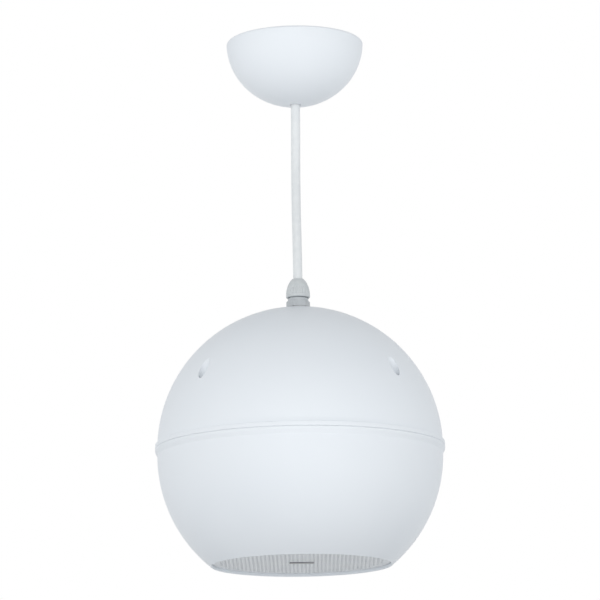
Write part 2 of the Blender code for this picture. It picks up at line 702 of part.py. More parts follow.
def cable_gland(parts, guides, ball, grey, rubber, pale_rubber):
    """Bell-shaped nut over a rubber seal, body with a hexagon flange, washer, locknut inside."""
    claw_top = NUT_Z + GLAND_CLAW_HEIGHT
    seal_top = claw_top + CLEAR + SEAL_HEIGHT
    inside = GLAND_THREAD_RADIUS + CLEAR
    r, z = NUT_RADIUS, NUT_Z
    crown = acos(NUT_MOUTH_RADIUS / r)
    rise = (NUT_HEIGHT - NUT_SKIRT) / sin(crown)
    nut = [(CABLE_BORE, NUT_TOP_Z)]
    nut += [(r * cos(a), z + NUT_SKIRT + rise * sin(a))
            for a in [crown * k / 7 for k in range(7, -1, -1)]]
    nut += [(r, z + 0.0012), (r - 0.0006, z), (inside, z), (inside, seal_top + CLEAR),
            (CABLE_BORE, seal_top + CLEAR)]
    nut = turned("gland_nut", nut, ROUND_MIDDLE, ball, parts)
    ends = [NUT_COLLAR, NUT_COLLAR + NUT_RIBS]
    foot_r, head_r = [r * sqrt(1 - ((up - NUT_SKIRT) / rise) ** 2) + NUT_FLUTE_RADIUS
                      - NUT_FLUTE_DEPTH for up in ends]
    flutes = solid_of_rods("nut_flutes", [
        ((foot_r * cos(a), foot_r * sin(a), z + ends[0]),
         (head_r * cos(a), head_r * sin(a), z + ends[1]), NUT_FLUTE_RADIUS, 6)
        for a in [tau * (k + 0.5) / NUT_FLUTES for k in range(NUT_FLUTES)]], ball, guides)
    combine(nut, flutes, "DIFFERENCE")
    settle(nut, grey)

    seal = [(CABLE_BORE, seal_top), (inside - CLEAR, seal_top), (inside - CLEAR, claw_top + CLEAR),
            (CABLE_BORE, claw_top + CLEAR)]
    settle(turned("gland_seal", seal, ROUND_SMALL, ball, parts), rubber)

    body = turned("gland_body", [
        (CABLE_BORE, claw_top), (GLAND_THREAD_RADIUS, claw_top), (GLAND_THREAD_RADIUS, NUT_Z - CLEAR),
        (GLAND_NECK_RADIUS, NUT_Z - CLEAR), (GLAND_NECK_RADIUS, NECK_Z - FLANGE_HEIGHT / 2),
        (GLAND_THREAD_RADIUS, NECK_Z - FLANGE_HEIGHT / 2), (GLAND_THREAD_RADIUS, THREAD_END_Z),
        (CABLE_BORE, THREAD_END_Z)], ROUND_SMALL, ball, parts)
    flange = flat_plate("gland_flange", [
        hexagon(FLANGE_ACROSS_FLATS, radians(8)), circle(GLAND_THREAD_RADIUS - 0.001, ROUND_SMALL)],
        FLANGE_HEIGHT, ball, guides)
    flange.location.z = FLANGE_Z + FLANGE_HEIGHT / 2
    combine(body, settle(flange), "UNION")
    settle(body, grey)

    washer = [(GLAND_HOLE, WASHER_Z + WASHER_THICK), (WASHER_RADIUS, WASHER_Z + WASHER_THICK),
              (WASHER_RADIUS, WASHER_Z), (GLAND_HOLE, WASHER_Z)]
    settle(turned("gland_washer", washer, ROUND_SMALL, ball, parts), pale_rubber)

    locknut = flat_plate("gland_locknut", [
        hexagon(LOCKNUT_ACROSS_FLATS), circle(GLAND_HOLE, ROUND_SMALL)], LOCKNUT_HEIGHT, ball, parts)
    locknut.location.z = LOCKNUT_Z + LOCKNUT_HEIGHT / 2
    settle(locknut, grey)


def upper_shell(parts, guides, ball, plastic):
    """Upper half of the ball: gland pad, seam bead and tongue, screw wells, transformer studs."""
    bead_r = BALL_RADIUS + BEAD_PROUD
    tongue = INNER_RADIUS + TONGUE_WALL
    boss = LOCKNUT_ACROSS_FLATS / sqrt(3) + 0.0025
    seat = boss + 0.0020
    profile = [(GLAND_HOLE, PAD_Z)]
    profile += arc(BALL_RADIUS, asin(PAD_Z / BALL_RADIUS), asin(BEAD_HALF / BALL_RADIUS), radians(10))
    profile += [(BALL_RADIUS + 0.7 * BEAD_PROUD, BEAD_HALF * 0.85), (bead_r, BEAD_HALF * 0.6),
                (bead_r, SEAM_HALF_GAP + SEAM_CHAMFER), (bead_r - SEAM_CHAMFER, SEAM_HALF_GAP),
                (tongue, SEAM_HALF_GAP), (tongue, -TONGUE_DEPTH), (INNER_RADIUS, -TONGUE_DEPTH)]
    profile += arc(INNER_RADIUS, 0, acos(seat / INNER_RADIUS), radians(15))
    profile += [(boss, PAD_UNDER_Z), (GLAND_HOLE, PAD_UNDER_Z)]
    shell = turned("upper_shell", profile, ROUND_LARGE, ball, parts)

    outer = WELL_RADIUS + WELL_WALL
    tall = BALL_RADIUS
    wells = solid_of_rods("well_tubes", [
        ((WELL_CIRCLE * cos(a), WELL_CIRCLE * sin(a), SEAM_HALF_GAP),
         (WELL_CIRCLE * cos(a), WELL_CIRCLE * sin(a), tall), outer, 12) for a in WELL_ANGLES]
        + [((side * STUD_SPREAD, 0, STUD_END_Z), (side * STUD_SPREAD, 0, tall), STUD_RADIUS, 10)
           for side in (-1, 1)], ball, guides)
    middle = BALL_RADIUS - SHELL_WALL / 2
    inside = turned("inside_upper_wall", [
        *arc(middle, pi / 2, radians(-6), radians(12)), (0, middle * sin(radians(-6)))],
        ROUND_LARGE, ball, guides, closed=False)
    combine(wells, inside, "INTERSECT")
    wells = settle(wells)
    bores = solid_of_rods("well_bores", [
        ((WELL_CIRCLE * cos(a), WELL_CIRCLE * sin(a), WELL_FLOOR),
         (WELL_CIRCLE * cos(a), WELL_CIRCLE * sin(a), tall), WELL_RADIUS, 12)
        for a in WELL_ANGLES]
        + [((side * STUD_SPREAD, 0, STUD_END_Z - 0.001),
            (side * STUD_SPREAD, 0, STUD_END_Z + FOOT_SCREW_LENGTH), FOOT_SCREW_RADIUS + CLEAR, 8)
           for side in (-1, 1)], ball, guides)
    shanks = solid_of_rods("well_shank_holes", [
        ((WELL_CIRCLE * cos(a), WELL_CIRCLE * sin(a), SEAM_HALF_GAP - 0.001),
         (WELL_CIRCLE * cos(a), WELL_CIRCLE * sin(a), WELL_FLOOR + 0.001),
         SHELL_SCREW_RADIUS + CLEAR, ROUND_FINE) for a in WELL_ANGLES], ball, guides)
    combine(shell, wells, "UNION")
    combine(shell, bores, "DIFFERENCE")
    combine(shell, shanks, "DIFFERENCE")
    settle(shell, plastic)


def lower_shell(parts, guides, ball, plastic):
    """Lower half: seam bead and rebate, webbed screw posts, lip, throat and driver bosses."""
    bead_r = BALL_RADIUS + BEAD_PROUD
    rebate = INNER_RADIUS + TONGUE_WALL + CLEAR
    throat_out = THROAT_RADIUS + THROAT_WALL
    lip_out = MOUTH_RADIUS + LIP_WIDTH
    profile = [(rebate, -SEAM_HALF_GAP), (bead_r - SEAM_CHAMFER, -SEAM_HALF_GAP),
               (bead_r, -SEAM_HALF_GAP - SEAM_CHAMFER), (bead_r, -BEAD_HALF * 0.6),
               (BALL_RADIUS + 0.7 * BEAD_PROUD, -BEAD_HALF * 0.85), (BALL_RADIUS, -BEAD_HALF)]
    first = asin(max(0.0, BEAD_HALF - BAND_HEIGHT) / BALL_RADIUS) + radians(6)
    profile += arc(BALL_RADIUS, -first, -acos(lip_out / BALL_RADIUS), radians(10), -BAND_HEIGHT)
    profile += [(MOUTH_RADIUS + LIP_WIDTH * 0.45, LIP_Z + LIP_PROUD * 0.45),
                (MOUTH_RADIUS, LIP_Z), (MOUTH_RADIUS - LIP_WIDTH * 0.5, LIP_Z),
                (THROAT_RADIUS, LIP_Z + LIP_PROUD), (THROAT_RADIUS, THROAT_TOP_Z),
                (throat_out, THROAT_TOP_Z)]
    low = max(0.0, -REBATE_Z - BAND_HEIGHT) + 0.0004
    profile += arc(INNER_RADIUS, -acos(throat_out / INNER_RADIUS), -asin(low / INNER_RADIUS),
                   radians(15), -BAND_HEIGHT)
    profile += [(INNER_RADIUS, REBATE_Z), (rebate, REBATE_Z)]
    shell = turned("lower_shell", profile, ROUND_LARGE, ball, parts)

    deep = -BALL_RADIUS - BAND_HEIGHT
    tip = WELL_FLOOR + CLEAR - SHELL_SCREW_LENGTH
    foot = tip - POST_BELOW_SCREW
    posts = solid_of_rods("screw_posts", [
        ((WELL_CIRCLE * cos(a), WELL_CIRCLE * sin(a), foot),
         (WELL_CIRCLE * cos(a), WELL_CIRCLE * sin(a), -SEAM_HALF_GAP), POST_RADIUS, 10)
        for a in WELL_ANGLES], ball, guides)
    webs = solid_of_boxes("post_webs", [
        ((WELL_CIRCLE + POST_RADIUS * 0.6, -POST_WEB / 2, foot + CLEAR),
         (BALL_RADIUS, POST_WEB / 2, REBATE_Z - CLEAR), a) for a in WELL_ANGLES], ball, guides)
    bosses = solid_of_rods("driver_bosses", [
        ((BOSS_CIRCLE * cos(a), BOSS_CIRCLE * sin(a), deep),
         (BOSS_CIRCLE * cos(a), BOSS_CIRCLE * sin(a), THROAT_TOP_Z), BOSS_RADIUS, 10)
        for a in DIAGONALS], ball, guides)
    middle = BALL_RADIUS - SHELL_WALL / 2
    inside = turned("inside_lower_wall", [
        (0, BAND_HEIGHT), (middle, BAND_HEIGHT), *arc(middle, 0, -pi / 2, radians(12), -BAND_HEIGHT)],
        ROUND_LARGE, ball, guides, closed=False)
    for inner in (webs, bosses):
        combine(inner, inside, "INTERSECT")
    posts, webs, bosses = settle(posts), settle(webs), settle(bosses)
    holes = solid_of_rods("post_holes", [
        ((WELL_CIRCLE * cos(a), WELL_CIRCLE * sin(a), tip - CLEAR),
         (WELL_CIRCLE * cos(a), WELL_CIRCLE * sin(a), 0.001), SHELL_SCREW_RADIUS + CLEAR, ROUND_FINE)
        for a in WELL_ANGLES] + [
        ((BOSS_CIRCLE * cos(a), BOSS_CIRCLE * sin(a), driver_screw_tip() - CLEAR),
         (BOSS_CIRCLE * cos(a), BOSS_CIRCLE * sin(a), THROAT_TOP_Z + 0.001),
         DRIVER_SCREW_RADIUS + CLEAR, ROUND_FINE) for a in DIAGONALS], ball, guides)
    combine(shell, webs, "UNION")
    combine(shell, posts, "UNION")
    combine(shell, bosses, "UNION")
    combine(shell, holes, "DIFFERENCE")
    settle(shell, plastic)


def driver_screw_tip():
    return DRIVER_Z + DRIVER_SHEET + CLEAR - DRIVER_SCREW_LENGTH


def shell_screws(parts, ball, steel):
    for k, a in enumerate(WELL_ANGLES, 1):
        x, y = WELL_CIRCLE * cos(a), WELL_CIRCLE * sin(a)
        seat = WELL_FLOOR + CLEAR
        screw_rod(f"shell_screw_{k}", (x, y, seat - SHELL_SCREW_LENGTH), (x, y, seat),
                  SHELL_SCREW_HEAD, SHELL_SCREW_HEAD_HEIGHT, SHELL_SCREW_RADIUS, steel, ball, parts)


def grille(parts, guides, ball, painted):
    """Perforated steel disc with a folded skirt, pushed up into the mouth."""
    top = GRILLE_Z + GRILLE_SHEET
    rim = GRILLE_Z + GRILLE_SKIRT
    profile = [(0, top), (GRILLE_RADIUS - GRILLE_SHEET, top), (GRILLE_RADIUS - GRILLE_SHEET, rim),
               (GRILLE_RADIUS, rim), (GRILLE_RADIUS, GRILLE_Z + GRILLE_FOLD),
               (GRILLE_RADIUS - GRILLE_FOLD, GRILLE_Z), (0, GRILLE_Z)]
    disc = turned("grille", profile, ROUND_LARGE, ball, parts, closed=False)
    reach = GRILLE_RADIUS - GRILLE_SHEET - GRILLE_BORDER
    row_step = HOLE_PITCH * sqrt(3) / 2
    rows = ceil(reach / row_step)
    shape = bmesh.new()
    for row in range(-rows, rows + 1):
        shift = (row % 2) * HOLE_PITCH / 2
        for column in range(-rows - 2, rows + 3):
            x, y = column * HOLE_PITCH + shift, row * row_step
            if sqrt(x * x + y * y) + HOLE_RADIUS <= reach:
                place = Matrix.Translation((x, y, GRILLE_Z + GRILLE_SHEET / 2))
                bmesh.ops.create_cone(shape, cap_ends=True, segments=6, radius1=HOLE_RADIUS,
                                      radius2=HOLE_RADIUS, depth=3 * GRILLE_SHEET, matrix=place)
    mesh = bpy.data.meshes.new("grille_punch")
    shape.to_mesh(mesh)
    shape.free()
    punch = add_object("grille_punch", mesh, ball, guides)
    combine(disc, punch, "DIFFERENCE")
    settle(disc, painted)


def driver_frame(parts, guides, ball, foam, black_steel, steel, phenolic):
    """Gasket, pressed basket with four windows, its tag strip and its four screws."""
    gasket = solid_ring("driver_gasket", THROAT_RADIUS + CLEAR, DRIVER_RADIUS, GASKET_Z,
                        GASKET_Z + GASKET_THICK, ROUND_LARGE, ball, parts)
    t = DRIVER_SHEET
    neck = THROAT_RADIUS - SURROUND_LAND + 0.0010
    shoulder = DRIVER_Z + BASKET_SHOULDER
    basket = turned("driver_basket", [
        (BASKET_BORE, REAR_Z), (BASKET_REAR_RADIUS, REAR_Z),
        (BASKET_REAR_RADIUS + t, LEDGE_Z), (LEDGE_RADIUS, LEDGE_Z), (neck + t, shoulder),
        (neck + t, DRIVER_Z + t), (DRIVER_RADIUS, DRIVER_Z + t), (DRIVER_RADIUS, DRIVER_Z),
        (neck, DRIVER_Z), (neck, shoulder - t / 2), (LEDGE_RADIUS - t / 2, LEDGE_Z - t),
        (BASKET_REAR_RADIUS, LEDGE_Z - t), (BASKET_REAR_RADIUS - t, REAR_Z - t),
        (BASKET_BORE, REAR_Z - t)], ROUND_MIDDLE, ball, parts)
    middle = (shoulder + LEDGE_Z) / 2
    windows = solid_of_boxes("basket_windows", [
        ((LEDGE_RADIUS * 0.75, -WINDOW_WIDTH / 2, middle - WINDOW_HEIGHT / 2),
         (DRIVER_RADIUS * 1.2, WINDOW_WIDTH / 2, middle + WINDOW_HEIGHT / 2), k * pi / 2)
        for k in range(4)], ball, guides)
    holes = solid_of_rods("flange_holes", [
        ((BOSS_CIRCLE * cos(a), BOSS_CIRCLE * sin(a), GASKET_Z - 0.001),
         (BOSS_CIRCLE * cos(a), BOSS_CIRCLE * sin(a), DRIVER_Z + t + 0.001),
         DRIVER_SCREW_RADIUS + CLEAR, ROUND_FINE) for a in DIAGONALS], ball, guides)
    combine(gasket, holes, "DIFFERENCE")
    settle(gasket, foam)
    for guide, kind in ((windows, "DIFFERENCE"), (holes, "DIFFERENCE")):
        combine(basket, guide, kind)
    settle(basket, black_steel)
    for k, a in enumerate(DIAGONALS, 1):
        x, y = BOSS_CIRCLE * cos(a), BOSS_CIRCLE * sin(a)
        screw_rod(f"driver_screw_{k}", (x, y, driver_screw_tip()), (x, y, DRIVER_Z + t + CLEAR),
                  DRIVER_SCREW_HEAD, DRIVER_SCREW_HEAD_HEIGHT, DRIVER_SCREW_RADIUS, steel, ball, parts)
    x = tag_radius()
    foot = LEDGE_Z + CLEAR
    tag = solid_of_boxes("driver_tag_strip", [
        ((x, -TAG_WIDTH / 2, foot), (x + TAG_THICK, TAG_WIDTH / 2, foot + TAG_HEIGHT), 0)], ball, parts)
    notch = solid_of_boxes("tag_notch", [
        ((x - 0.001, -TAG_WIDTH / 8, foot + TAG_HEIGHT * 0.55),
         (x + TAG_THICK + 0.001, TAG_WIDTH / 8, foot + TAG_HEIGHT + 0.001), 0)], ball, guides)
    combine(tag, notch, "DIFFERENCE")
    settle(tag, phenolic)


def tag_radius():
    return (BASKET_REAR_RADIUS + DRIVER_SHEET + LEDGE_RADIUS) / 2 - TAG_THICK / 2


def solid_ring(name, inner, outer, low, high, steps, parent, home):
    return turned(name, [(inner, high), (outer, high), (outer, low), (inner, low)], steps, parent, home)


def driver_motor(parts, ball, ferrite, zinc):
    """Front plate, ferrite ring, and back plate with its pole piece."""
    top = solid_ring("driver_top_plate", GAP_RADIUS, TOP_PLATE_RADIUS, TOP_PLATE_Z,
                     TOP_PLATE_Z + TOP_PLATE_THICK, ROUND_MIDDLE, ball, parts)
    settle(top, zinc)
    magnet = solid_ring("driver_magnet", MAGNET_BORE, MAGNET_RADIUS, MAGNET_Z,
                        MAGNET_Z + MAGNET_THICK, ROUND_MIDDLE, ball, parts)
    settle(magnet, ferrite)
    high = BACK_PLATE_Z + BACK_PLATE_THICK
    edge = BACK_PLATE_THICK / 4
    back = turned("driver_back_plate", [
        (0, high), (BACK_PLATE_RADIUS - edge, high), (BACK_PLATE_RADIUS, high - edge),
        (BACK_PLATE_RADIUS, BACK_PLATE_Z), (POLE_RADIUS, BACK_PLATE_Z), (POLE_RADIUS, TOP_PLATE_Z),
        (0, TOP_PLATE_Z)], ROUND_MIDDLE, ball, parts, closed=False)
    settle(back, zinc)


def driver_cone(parts, ball, pulp, felt, copper):
    """Curved cone, whizzer, dust cap and voice coil, which travel together."""
    edge = ROLL_INNER - CLEAR

    def depth(r):
        share = max(0.0, (r - CONE_NECK) / (edge - CONE_NECK))
        return CONE_NECK_Z - CONE_DEPTH * share**CONE_FLARE

    radii = [CONE_NECK + (edge - CONE_NECK) * (k / 4) ** 1.5 for k in range(5)]
    front = [(r, depth(r)) for r in reversed(radii)]
    back = [(r, depth(r) + CONE_THICK) for r in radii]
    settle(turned("driver_cone", back + front, ROUND_LARGE, ball, parts), pulp)

    start, low = CONE_NECK_Z - 2 * CONE_THICK, CONE_NECK_Z - 2 * CONE_THICK - WHIZZER_DEPTH
    radii = [CONE_NECK + CLEAR + (WHIZZER_RADIUS - CONE_NECK) * k / 3 for k in range(4)]
    curve = [(r, start + (low - start) * (k / 3) ** 0.6) for k, r in enumerate(radii)]
    front = [(r, z) for r, z in reversed(curve)]
    back = [(r + CONE_THICK, z) for r, z in curve]
    settle(turned("driver_whizzer", back + front, ROUND_SMALL, ball, parts), pulp)

    tube_in = COIL_RADIUS - COIL_WALL
    coil = solid_ring("driver_voice_coil", tube_in, COIL_RADIUS, COIL_END_Z,
                      TOP_PLATE_Z + COIL_ABOVE, ROUND_MIDDLE, ball, parts)
    settle(coil, copper)
    cap_top = COIL_END_Z - CLEAR
    dome = [(COIL_RADIUS * cos(a), cap_top - DUST_CAP_DEPTH * sin(a))
            for a in [radians(30 * k) for k in range(4)]]
    inner = [(r * (1 - CONE_THICK / COIL_RADIUS), z + CONE_THICK) for r, z in dome]
    inner[0] = (inner[0][0], cap_top)
    cap = turned("driver_dust_cap", [*reversed(inner), *dome], ROUND_SMALL, ball, parts, closed=False)
    settle(cap, felt)


def driver_suspension(parts, ball, rubber, cloth):
    """Half-roll surround round the cone's edge, and the corrugated spider behind it."""
    t = SURROUND_THICK
    z = SURROUND_Z
    middle = (ROLL_OUTER + ROLL_INNER) / 2
    angles = [pi * k / 4 for k in range(5)]
    under = [(middle + SURROUND_ROLL * cos(a), z - t - SURROUND_ROLL * sin(a)) for a in angles]
    over = [(middle + (SURROUND_ROLL - t) * cos(a), z - (SURROUND_ROLL - t) * sin(a))
            for a in reversed(angles)]
    inner = ROLL_INNER - CONE_LAND
    profile = [(THROAT_RADIUS, z), (THROAT_RADIUS, z - t), *under, (inner, z - t), (inner, z), *over]
    settle(turned("driver_surround", profile, ROUND_LARGE, ball, parts), rubber)

    t = SPIDER_THICK
    z = LEDGE_Z - DRIVER_SHEET - CLEAR
    outer = LEDGE_RADIUS - DRIVER_SHEET - CLEAR
    land = outer - SPIDER_LAND
    inner = COIL_RADIUS + CLEAR
    count = 2 * SPIDER_WAVE_COUNT
    crests = [(inner + (land - inner) * k / count,
               z - SPIDER_WAVE + (SPIDER_WAVE if k % 2 == 0 else -SPIDER_WAVE))
              for k in range(count, -1, -1)]
    top = [(outer, z), (outer, z - t)] + [(r, h - t) for r, h in crests]
    profile = top + [(r, h) for r, h in reversed(crests)]
    settle(turned("driver_spider", profile, ROUND_MIDDLE, ball, parts), cloth)


def bobbin_half_y():
    return CORE_STACK / 2 + CLEAR + BOBBIN_FLANGE


def line_transformer(parts, guides, ball, iron, nylon, tape, zinc, steel):
    """Laminated core with a wound bobbin, in a folded frame screwed to two studs."""
    half, top = CORE_WIDTH / 2, CORE_TOP_Z
    core = solid_of_boxes("transformer_core", [
        ((-half, -CORE_STACK / 2, CORE_Z), (half, CORE_STACK / 2, top), 0)], ball, parts)
    windows = solid_of_boxes("core_windows", [
        ((side * CORE_LEG / 2 if side > 0 else -half + CORE_YOKE, -CORE_STACK, CORE_Z + CORE_YOKE),
         (half - CORE_YOKE if side > 0 else -CORE_LEG / 2, CORE_STACK, top - CORE_YOKE), 0)
        for side in (-1, 1)], ball, guides)
    combine(core, windows, "DIFFERENCE")
    settle(core, iron)

    in_x, in_y = CORE_LEG / 2 + CLEAR, CORE_STACK / 2 + CLEAR
    out_x, out_y = CORE_LEG / 2 + CLEAR + BOBBIN_FLANGE, bobbin_half_y()
    low, high = BOBBIN_Z, BOBBIN_Z + BOBBIN_HEIGHT
    bobbin = solid_of_boxes("transformer_bobbin", [
        ((-out_x, -out_y, low), (out_x, out_y, high), 0)], ball, parts)
    w = BOBBIN_WALL
    ring = solid_of_boxes("bobbin_channel", [
        ((-out_x - 0.001, -out_y - 0.001, low + w), (out_x + 0.001, out_y + 0.001, high - w), 0)],
        ball, guides)
    tube_wall = solid_of_boxes("bobbin_tube", [
        ((-in_x - w, -in_y - w, low + w / 2), (in_x + w, in_y + w, high - w / 2), 0)], ball, guides)
    leg = solid_of_boxes("bobbin_leg", [
        ((-in_x, -in_y, low - 0.001), (in_x, in_y, high + 0.001), 0)], ball, guides)
    combine(ring, tube_wall, "DIFFERENCE")
    combine(bobbin, settle(ring), "DIFFERENCE")
    combine(bobbin, leg, "DIFFERENCE")
    settle(bobbin, nylon)

    gap = w + CLEAR
    wound_x, wound_y = out_x - WINDING_PROUD, out_y - WINDING_PROUD
    winding = flat_plate("transformer_winding", [
        rectangle(-wound_x, wound_x, -wound_y, wound_y),
        rectangle(-in_x - gap, in_x + gap, -in_y - gap, in_y + gap)],
        BOBBIN_HEIGHT - 2 * gap, ball, parts)
    winding.location.z = (low + high) / 2
    settle(winding, tape)

    t, y = FRAME_SHEET, CORE_STACK / 2
    side, base = FRAME_INNER + t, CORE_Z - CLEAR
    reach = STUD_SPREAD + FRAME_FOOT / 2
    right = [(side, base - t), (side, FOOT_Z), (reach, FOOT_Z), (reach, FOOT_Z + t),
             (FRAME_INNER, FOOT_Z + t), (FRAME_INNER, base)]
    section = right + [(-px, pz) for px, pz in reversed(right)]
    frame = flat_plate("transformer_frame", [section], 2 * y, ball, parts)
    frame.rotation_euler = (radians(90), 0, 0)
    frame = settle(frame)
    holes = solid_of_rods("foot_holes", [
        ((k * STUD_SPREAD, 0, FOOT_Z - 0.001), (k * STUD_SPREAD, 0, FOOT_Z + t + 0.001),
         FOOT_SCREW_RADIUS + CLEAR, ROUND_FINE) for k in (-1, 1)], ball, guides)
    combine(frame, holes, "DIFFERENCE")
    settle(frame, zinc)
    for k, mirror in enumerate((-1, 1), 1):
        x, seat = mirror * STUD_SPREAD, FOOT_Z - CLEAR
        screw_rod(f"transformer_screw_{k}", (x, 0, seat + FOOT_SCREW_LENGTH), (x, 0, seat),
                  FOOT_SCREW_HEAD, FOOT_SCREW_HEAD_HEIGHT, FOOT_SCREW_RADIUS, steel, ball, parts)


def build():
    for obj in list(bpy.data.objects):
        bpy.data.objects.remove(obj, do_unlink=True)
    parts = new_collection("pendant_ball_speaker")
    guides = new_collection("cutters")
    rose = add_object("rose_origin", None, None, parts)
    ball = add_object("ball_origin", None, None, parts, (0, 0, SEAM_Z))

    white = new_material("white_satin_plastic", (0.80, 0.81, 0.82), 0.42)
    grey = new_material("light_grey_nylon", (0.56, 0.57, 0.58), 0.45)
    nylon = new_material("natural_nylon", (0.74, 0.72, 0.66), 0.5)
    rubber = new_material("black_rubber", (0.03, 0.03, 0.03), 0.7)
    soft_grey = new_material("grey_rubber", (0.35, 0.35, 0.35), 0.7)
    jacket = new_material("white_cable_jacket", (0.72, 0.72, 0.70), 0.5)
    live = new_material("brown_insulation", (0.16, 0.06, 0.03), 0.45)
    neutral = new_material("blue_insulation", (0.04, 0.12, 0.40), 0.45)
    painted = new_material("light_grey_painted_steel", (0.60, 0.61, 0.62), 0.5)
    black_steel = new_material("black_painted_steel", (0.04, 0.04, 0.04), 0.5)
    steel = new_material("zinc_plated_steel", (0.62, 0.62, 0.62), 0.35, 1.0)
    brass = new_material("brass", (0.72, 0.54, 0.24), 0.35, 1.0)
    ferrite = new_material("ferrite", (0.07, 0.07, 0.07), 0.6)
    pulp = new_material("paper_pulp", (0.05, 0.05, 0.05), 0.85)
    felt = new_material("dust_cap_cloth", (0.08, 0.08, 0.08), 0.9)
    copper = new_material("copper_wire", (0.60, 0.26, 0.13), 0.4, 1.0)
    cloth = new_material("treated_cloth", (0.62, 0.42, 0.16), 0.85)
    foam = new_material("gasket_foam", (0.10, 0.10, 0.10), 0.95)
    phenolic = new_material("phenolic_board", (0.28, 0.15, 0.07), 0.6)
    iron = new_material("laminated_iron", (0.22, 0.22, 0.23), 0.5, 1.0)
    tape = new_material("yellow_winding_tape", (0.72, 0.56, 0.12), 0.5)

    ceiling_bracket(parts, guides, rose, steel)
    cord_clamp(parts, guides, rose, nylon, steel)
    terminal_block(parts, guides, rose, nylon, brass, steel)
    rose_cup(parts, guides, rose, white, soft_grey)
    cable_and_cores(parts, rose, ball, jacket, live, neutral)
    cable_gland(parts, guides, ball, grey, rubber, soft_grey)
    upper_shell(parts, guides, ball, white)
    lower_shell(parts, guides, ball, white)
    shell_screws(parts, ball, steel)
    grille(parts, guides, ball, painted)
    driver_frame(parts, guides, ball, foam, black_steel, steel, phenolic)
    driver_motor(parts, ball, ferrite, steel)
    driver_cone(parts, ball, pulp, felt, copper)
    driver_suspension(parts, ball, rubber, cloth)
    line_transformer(parts, guides, ball, iron, nylon, tape, steel, steel)


build()
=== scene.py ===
from math import acos, asin, cos, pi, radians, sin, sqrt, tau

import bmesh
import bpy
from mathutils import Matrix, Vector


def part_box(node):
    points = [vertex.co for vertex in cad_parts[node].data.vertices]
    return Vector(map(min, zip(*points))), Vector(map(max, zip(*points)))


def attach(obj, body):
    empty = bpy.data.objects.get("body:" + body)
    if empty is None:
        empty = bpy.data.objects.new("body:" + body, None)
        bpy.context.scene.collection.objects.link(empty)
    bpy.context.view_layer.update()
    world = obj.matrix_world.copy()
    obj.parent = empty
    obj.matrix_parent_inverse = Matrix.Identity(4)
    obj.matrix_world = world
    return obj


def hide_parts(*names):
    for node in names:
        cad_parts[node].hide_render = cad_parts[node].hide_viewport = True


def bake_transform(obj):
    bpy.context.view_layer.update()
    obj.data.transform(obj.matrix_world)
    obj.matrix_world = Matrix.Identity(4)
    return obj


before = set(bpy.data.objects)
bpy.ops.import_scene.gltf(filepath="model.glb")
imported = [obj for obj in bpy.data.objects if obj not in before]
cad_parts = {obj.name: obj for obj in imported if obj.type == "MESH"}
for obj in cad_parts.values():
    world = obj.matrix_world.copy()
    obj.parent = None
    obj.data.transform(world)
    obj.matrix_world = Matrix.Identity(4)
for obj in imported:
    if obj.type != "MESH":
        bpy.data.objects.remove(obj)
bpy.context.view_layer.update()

# The studio. The speaker hangs before a white ground and is seen from a little below
# through a long lens, turned by 0.8 degrees to match the photograph. One broad lamp
# stands in front, and the pale room does the rest.
half_gap = 0.00015
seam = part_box("lower_shell")[1][2] + half_gap
eye_right, eye_back, eye_below, aim_above = 0.0016, 3.0, 0.4762, 0.1276
lean = radians(-0.80)

lens = bpy.data.cameras.new("studio_camera")
lens.sensor_width = 36.0
lens.lens = 216.7
lens.clip_end = 60.0
camera = bpy.data.objects.new("studio_camera", lens)
bpy.context.scene.collection.objects.link(camera)
bpy.context.scene.camera = camera
bpy.context.scene.view_settings.view_transform = "Standard"
eye = Vector((eye_right, -eye_back, seam - eye_below))
forward = (Vector((eye_right, 0.0, seam + aim_above)) - eye).normalized()
right = forward.cross(Vector((0, 0, 1))).normalized()
upward = right.cross(forward)
across = cos(lean) * right + sin(lean) * upward
above = cos(lean) * upward - sin(lean) * right
camera.matrix_world = Matrix((
    (across.x, above.x, -forward.x, eye.x),
    (across.y, above.y, -forward.y, eye.y),
    (across.z, above.z, -forward.z, eye.z),
    (0, 0, 0, 1)))

light = bpy.data.lights.new("front_lamp", "AREA")
light.shape = "DISK"
light.size = 2.6
light.energy = 28.0
light.color = (1.0, 0.985, 0.965)
lamp = bpy.data.objects.new("front_lamp", light)
bpy.context.scene.collection.objects.link(lamp)
lamp.location = (-0.30, -3.3, 0.05)
aim = Vector((0, 0, -0.30)) - lamp.location
lamp.rotation_euler = aim.to_track_quat("-Z", "Y").to_euler()

# A small spot lamp low down in front lifts the underside of the ceiling rose, which the
# broad lamp leaves a little too dark.
beam = bpy.data.lights.new("rose_lamp", "SPOT")
beam.energy = 24.0
beam.spot_size = radians(5.0)
beam.spot_blend = 0.5
beam.shadow_soft_size = 0.05
spot = bpy.data.objects.new("rose_lamp", beam)
bpy.context.scene.collection.objects.link(spot)
spot.location = (0.15, -1.17, -2.25)
aim = Vector((0, 0, -0.02)) - spot.location
spot.rotation_euler = aim.to_track_quat("-Z", "Y").to_euler()

world = bpy.data.worlds.new("pale_room")
bpy.context.scene.world = world
world.use_nodes = True
sky = world.node_tree
sky.nodes.clear()


def sky_node(kind, *values, **settings):
    made = sky.nodes.new(kind)
    for setting, choice in settings.items():
        setattr(made, setting, choice)
    for socket, value in zip(made.inputs, values):
        if isinstance(value, bpy.types.NodeSocket):
            sky.links.new(value, socket)
        else:
            socket.default_value = value
    return made


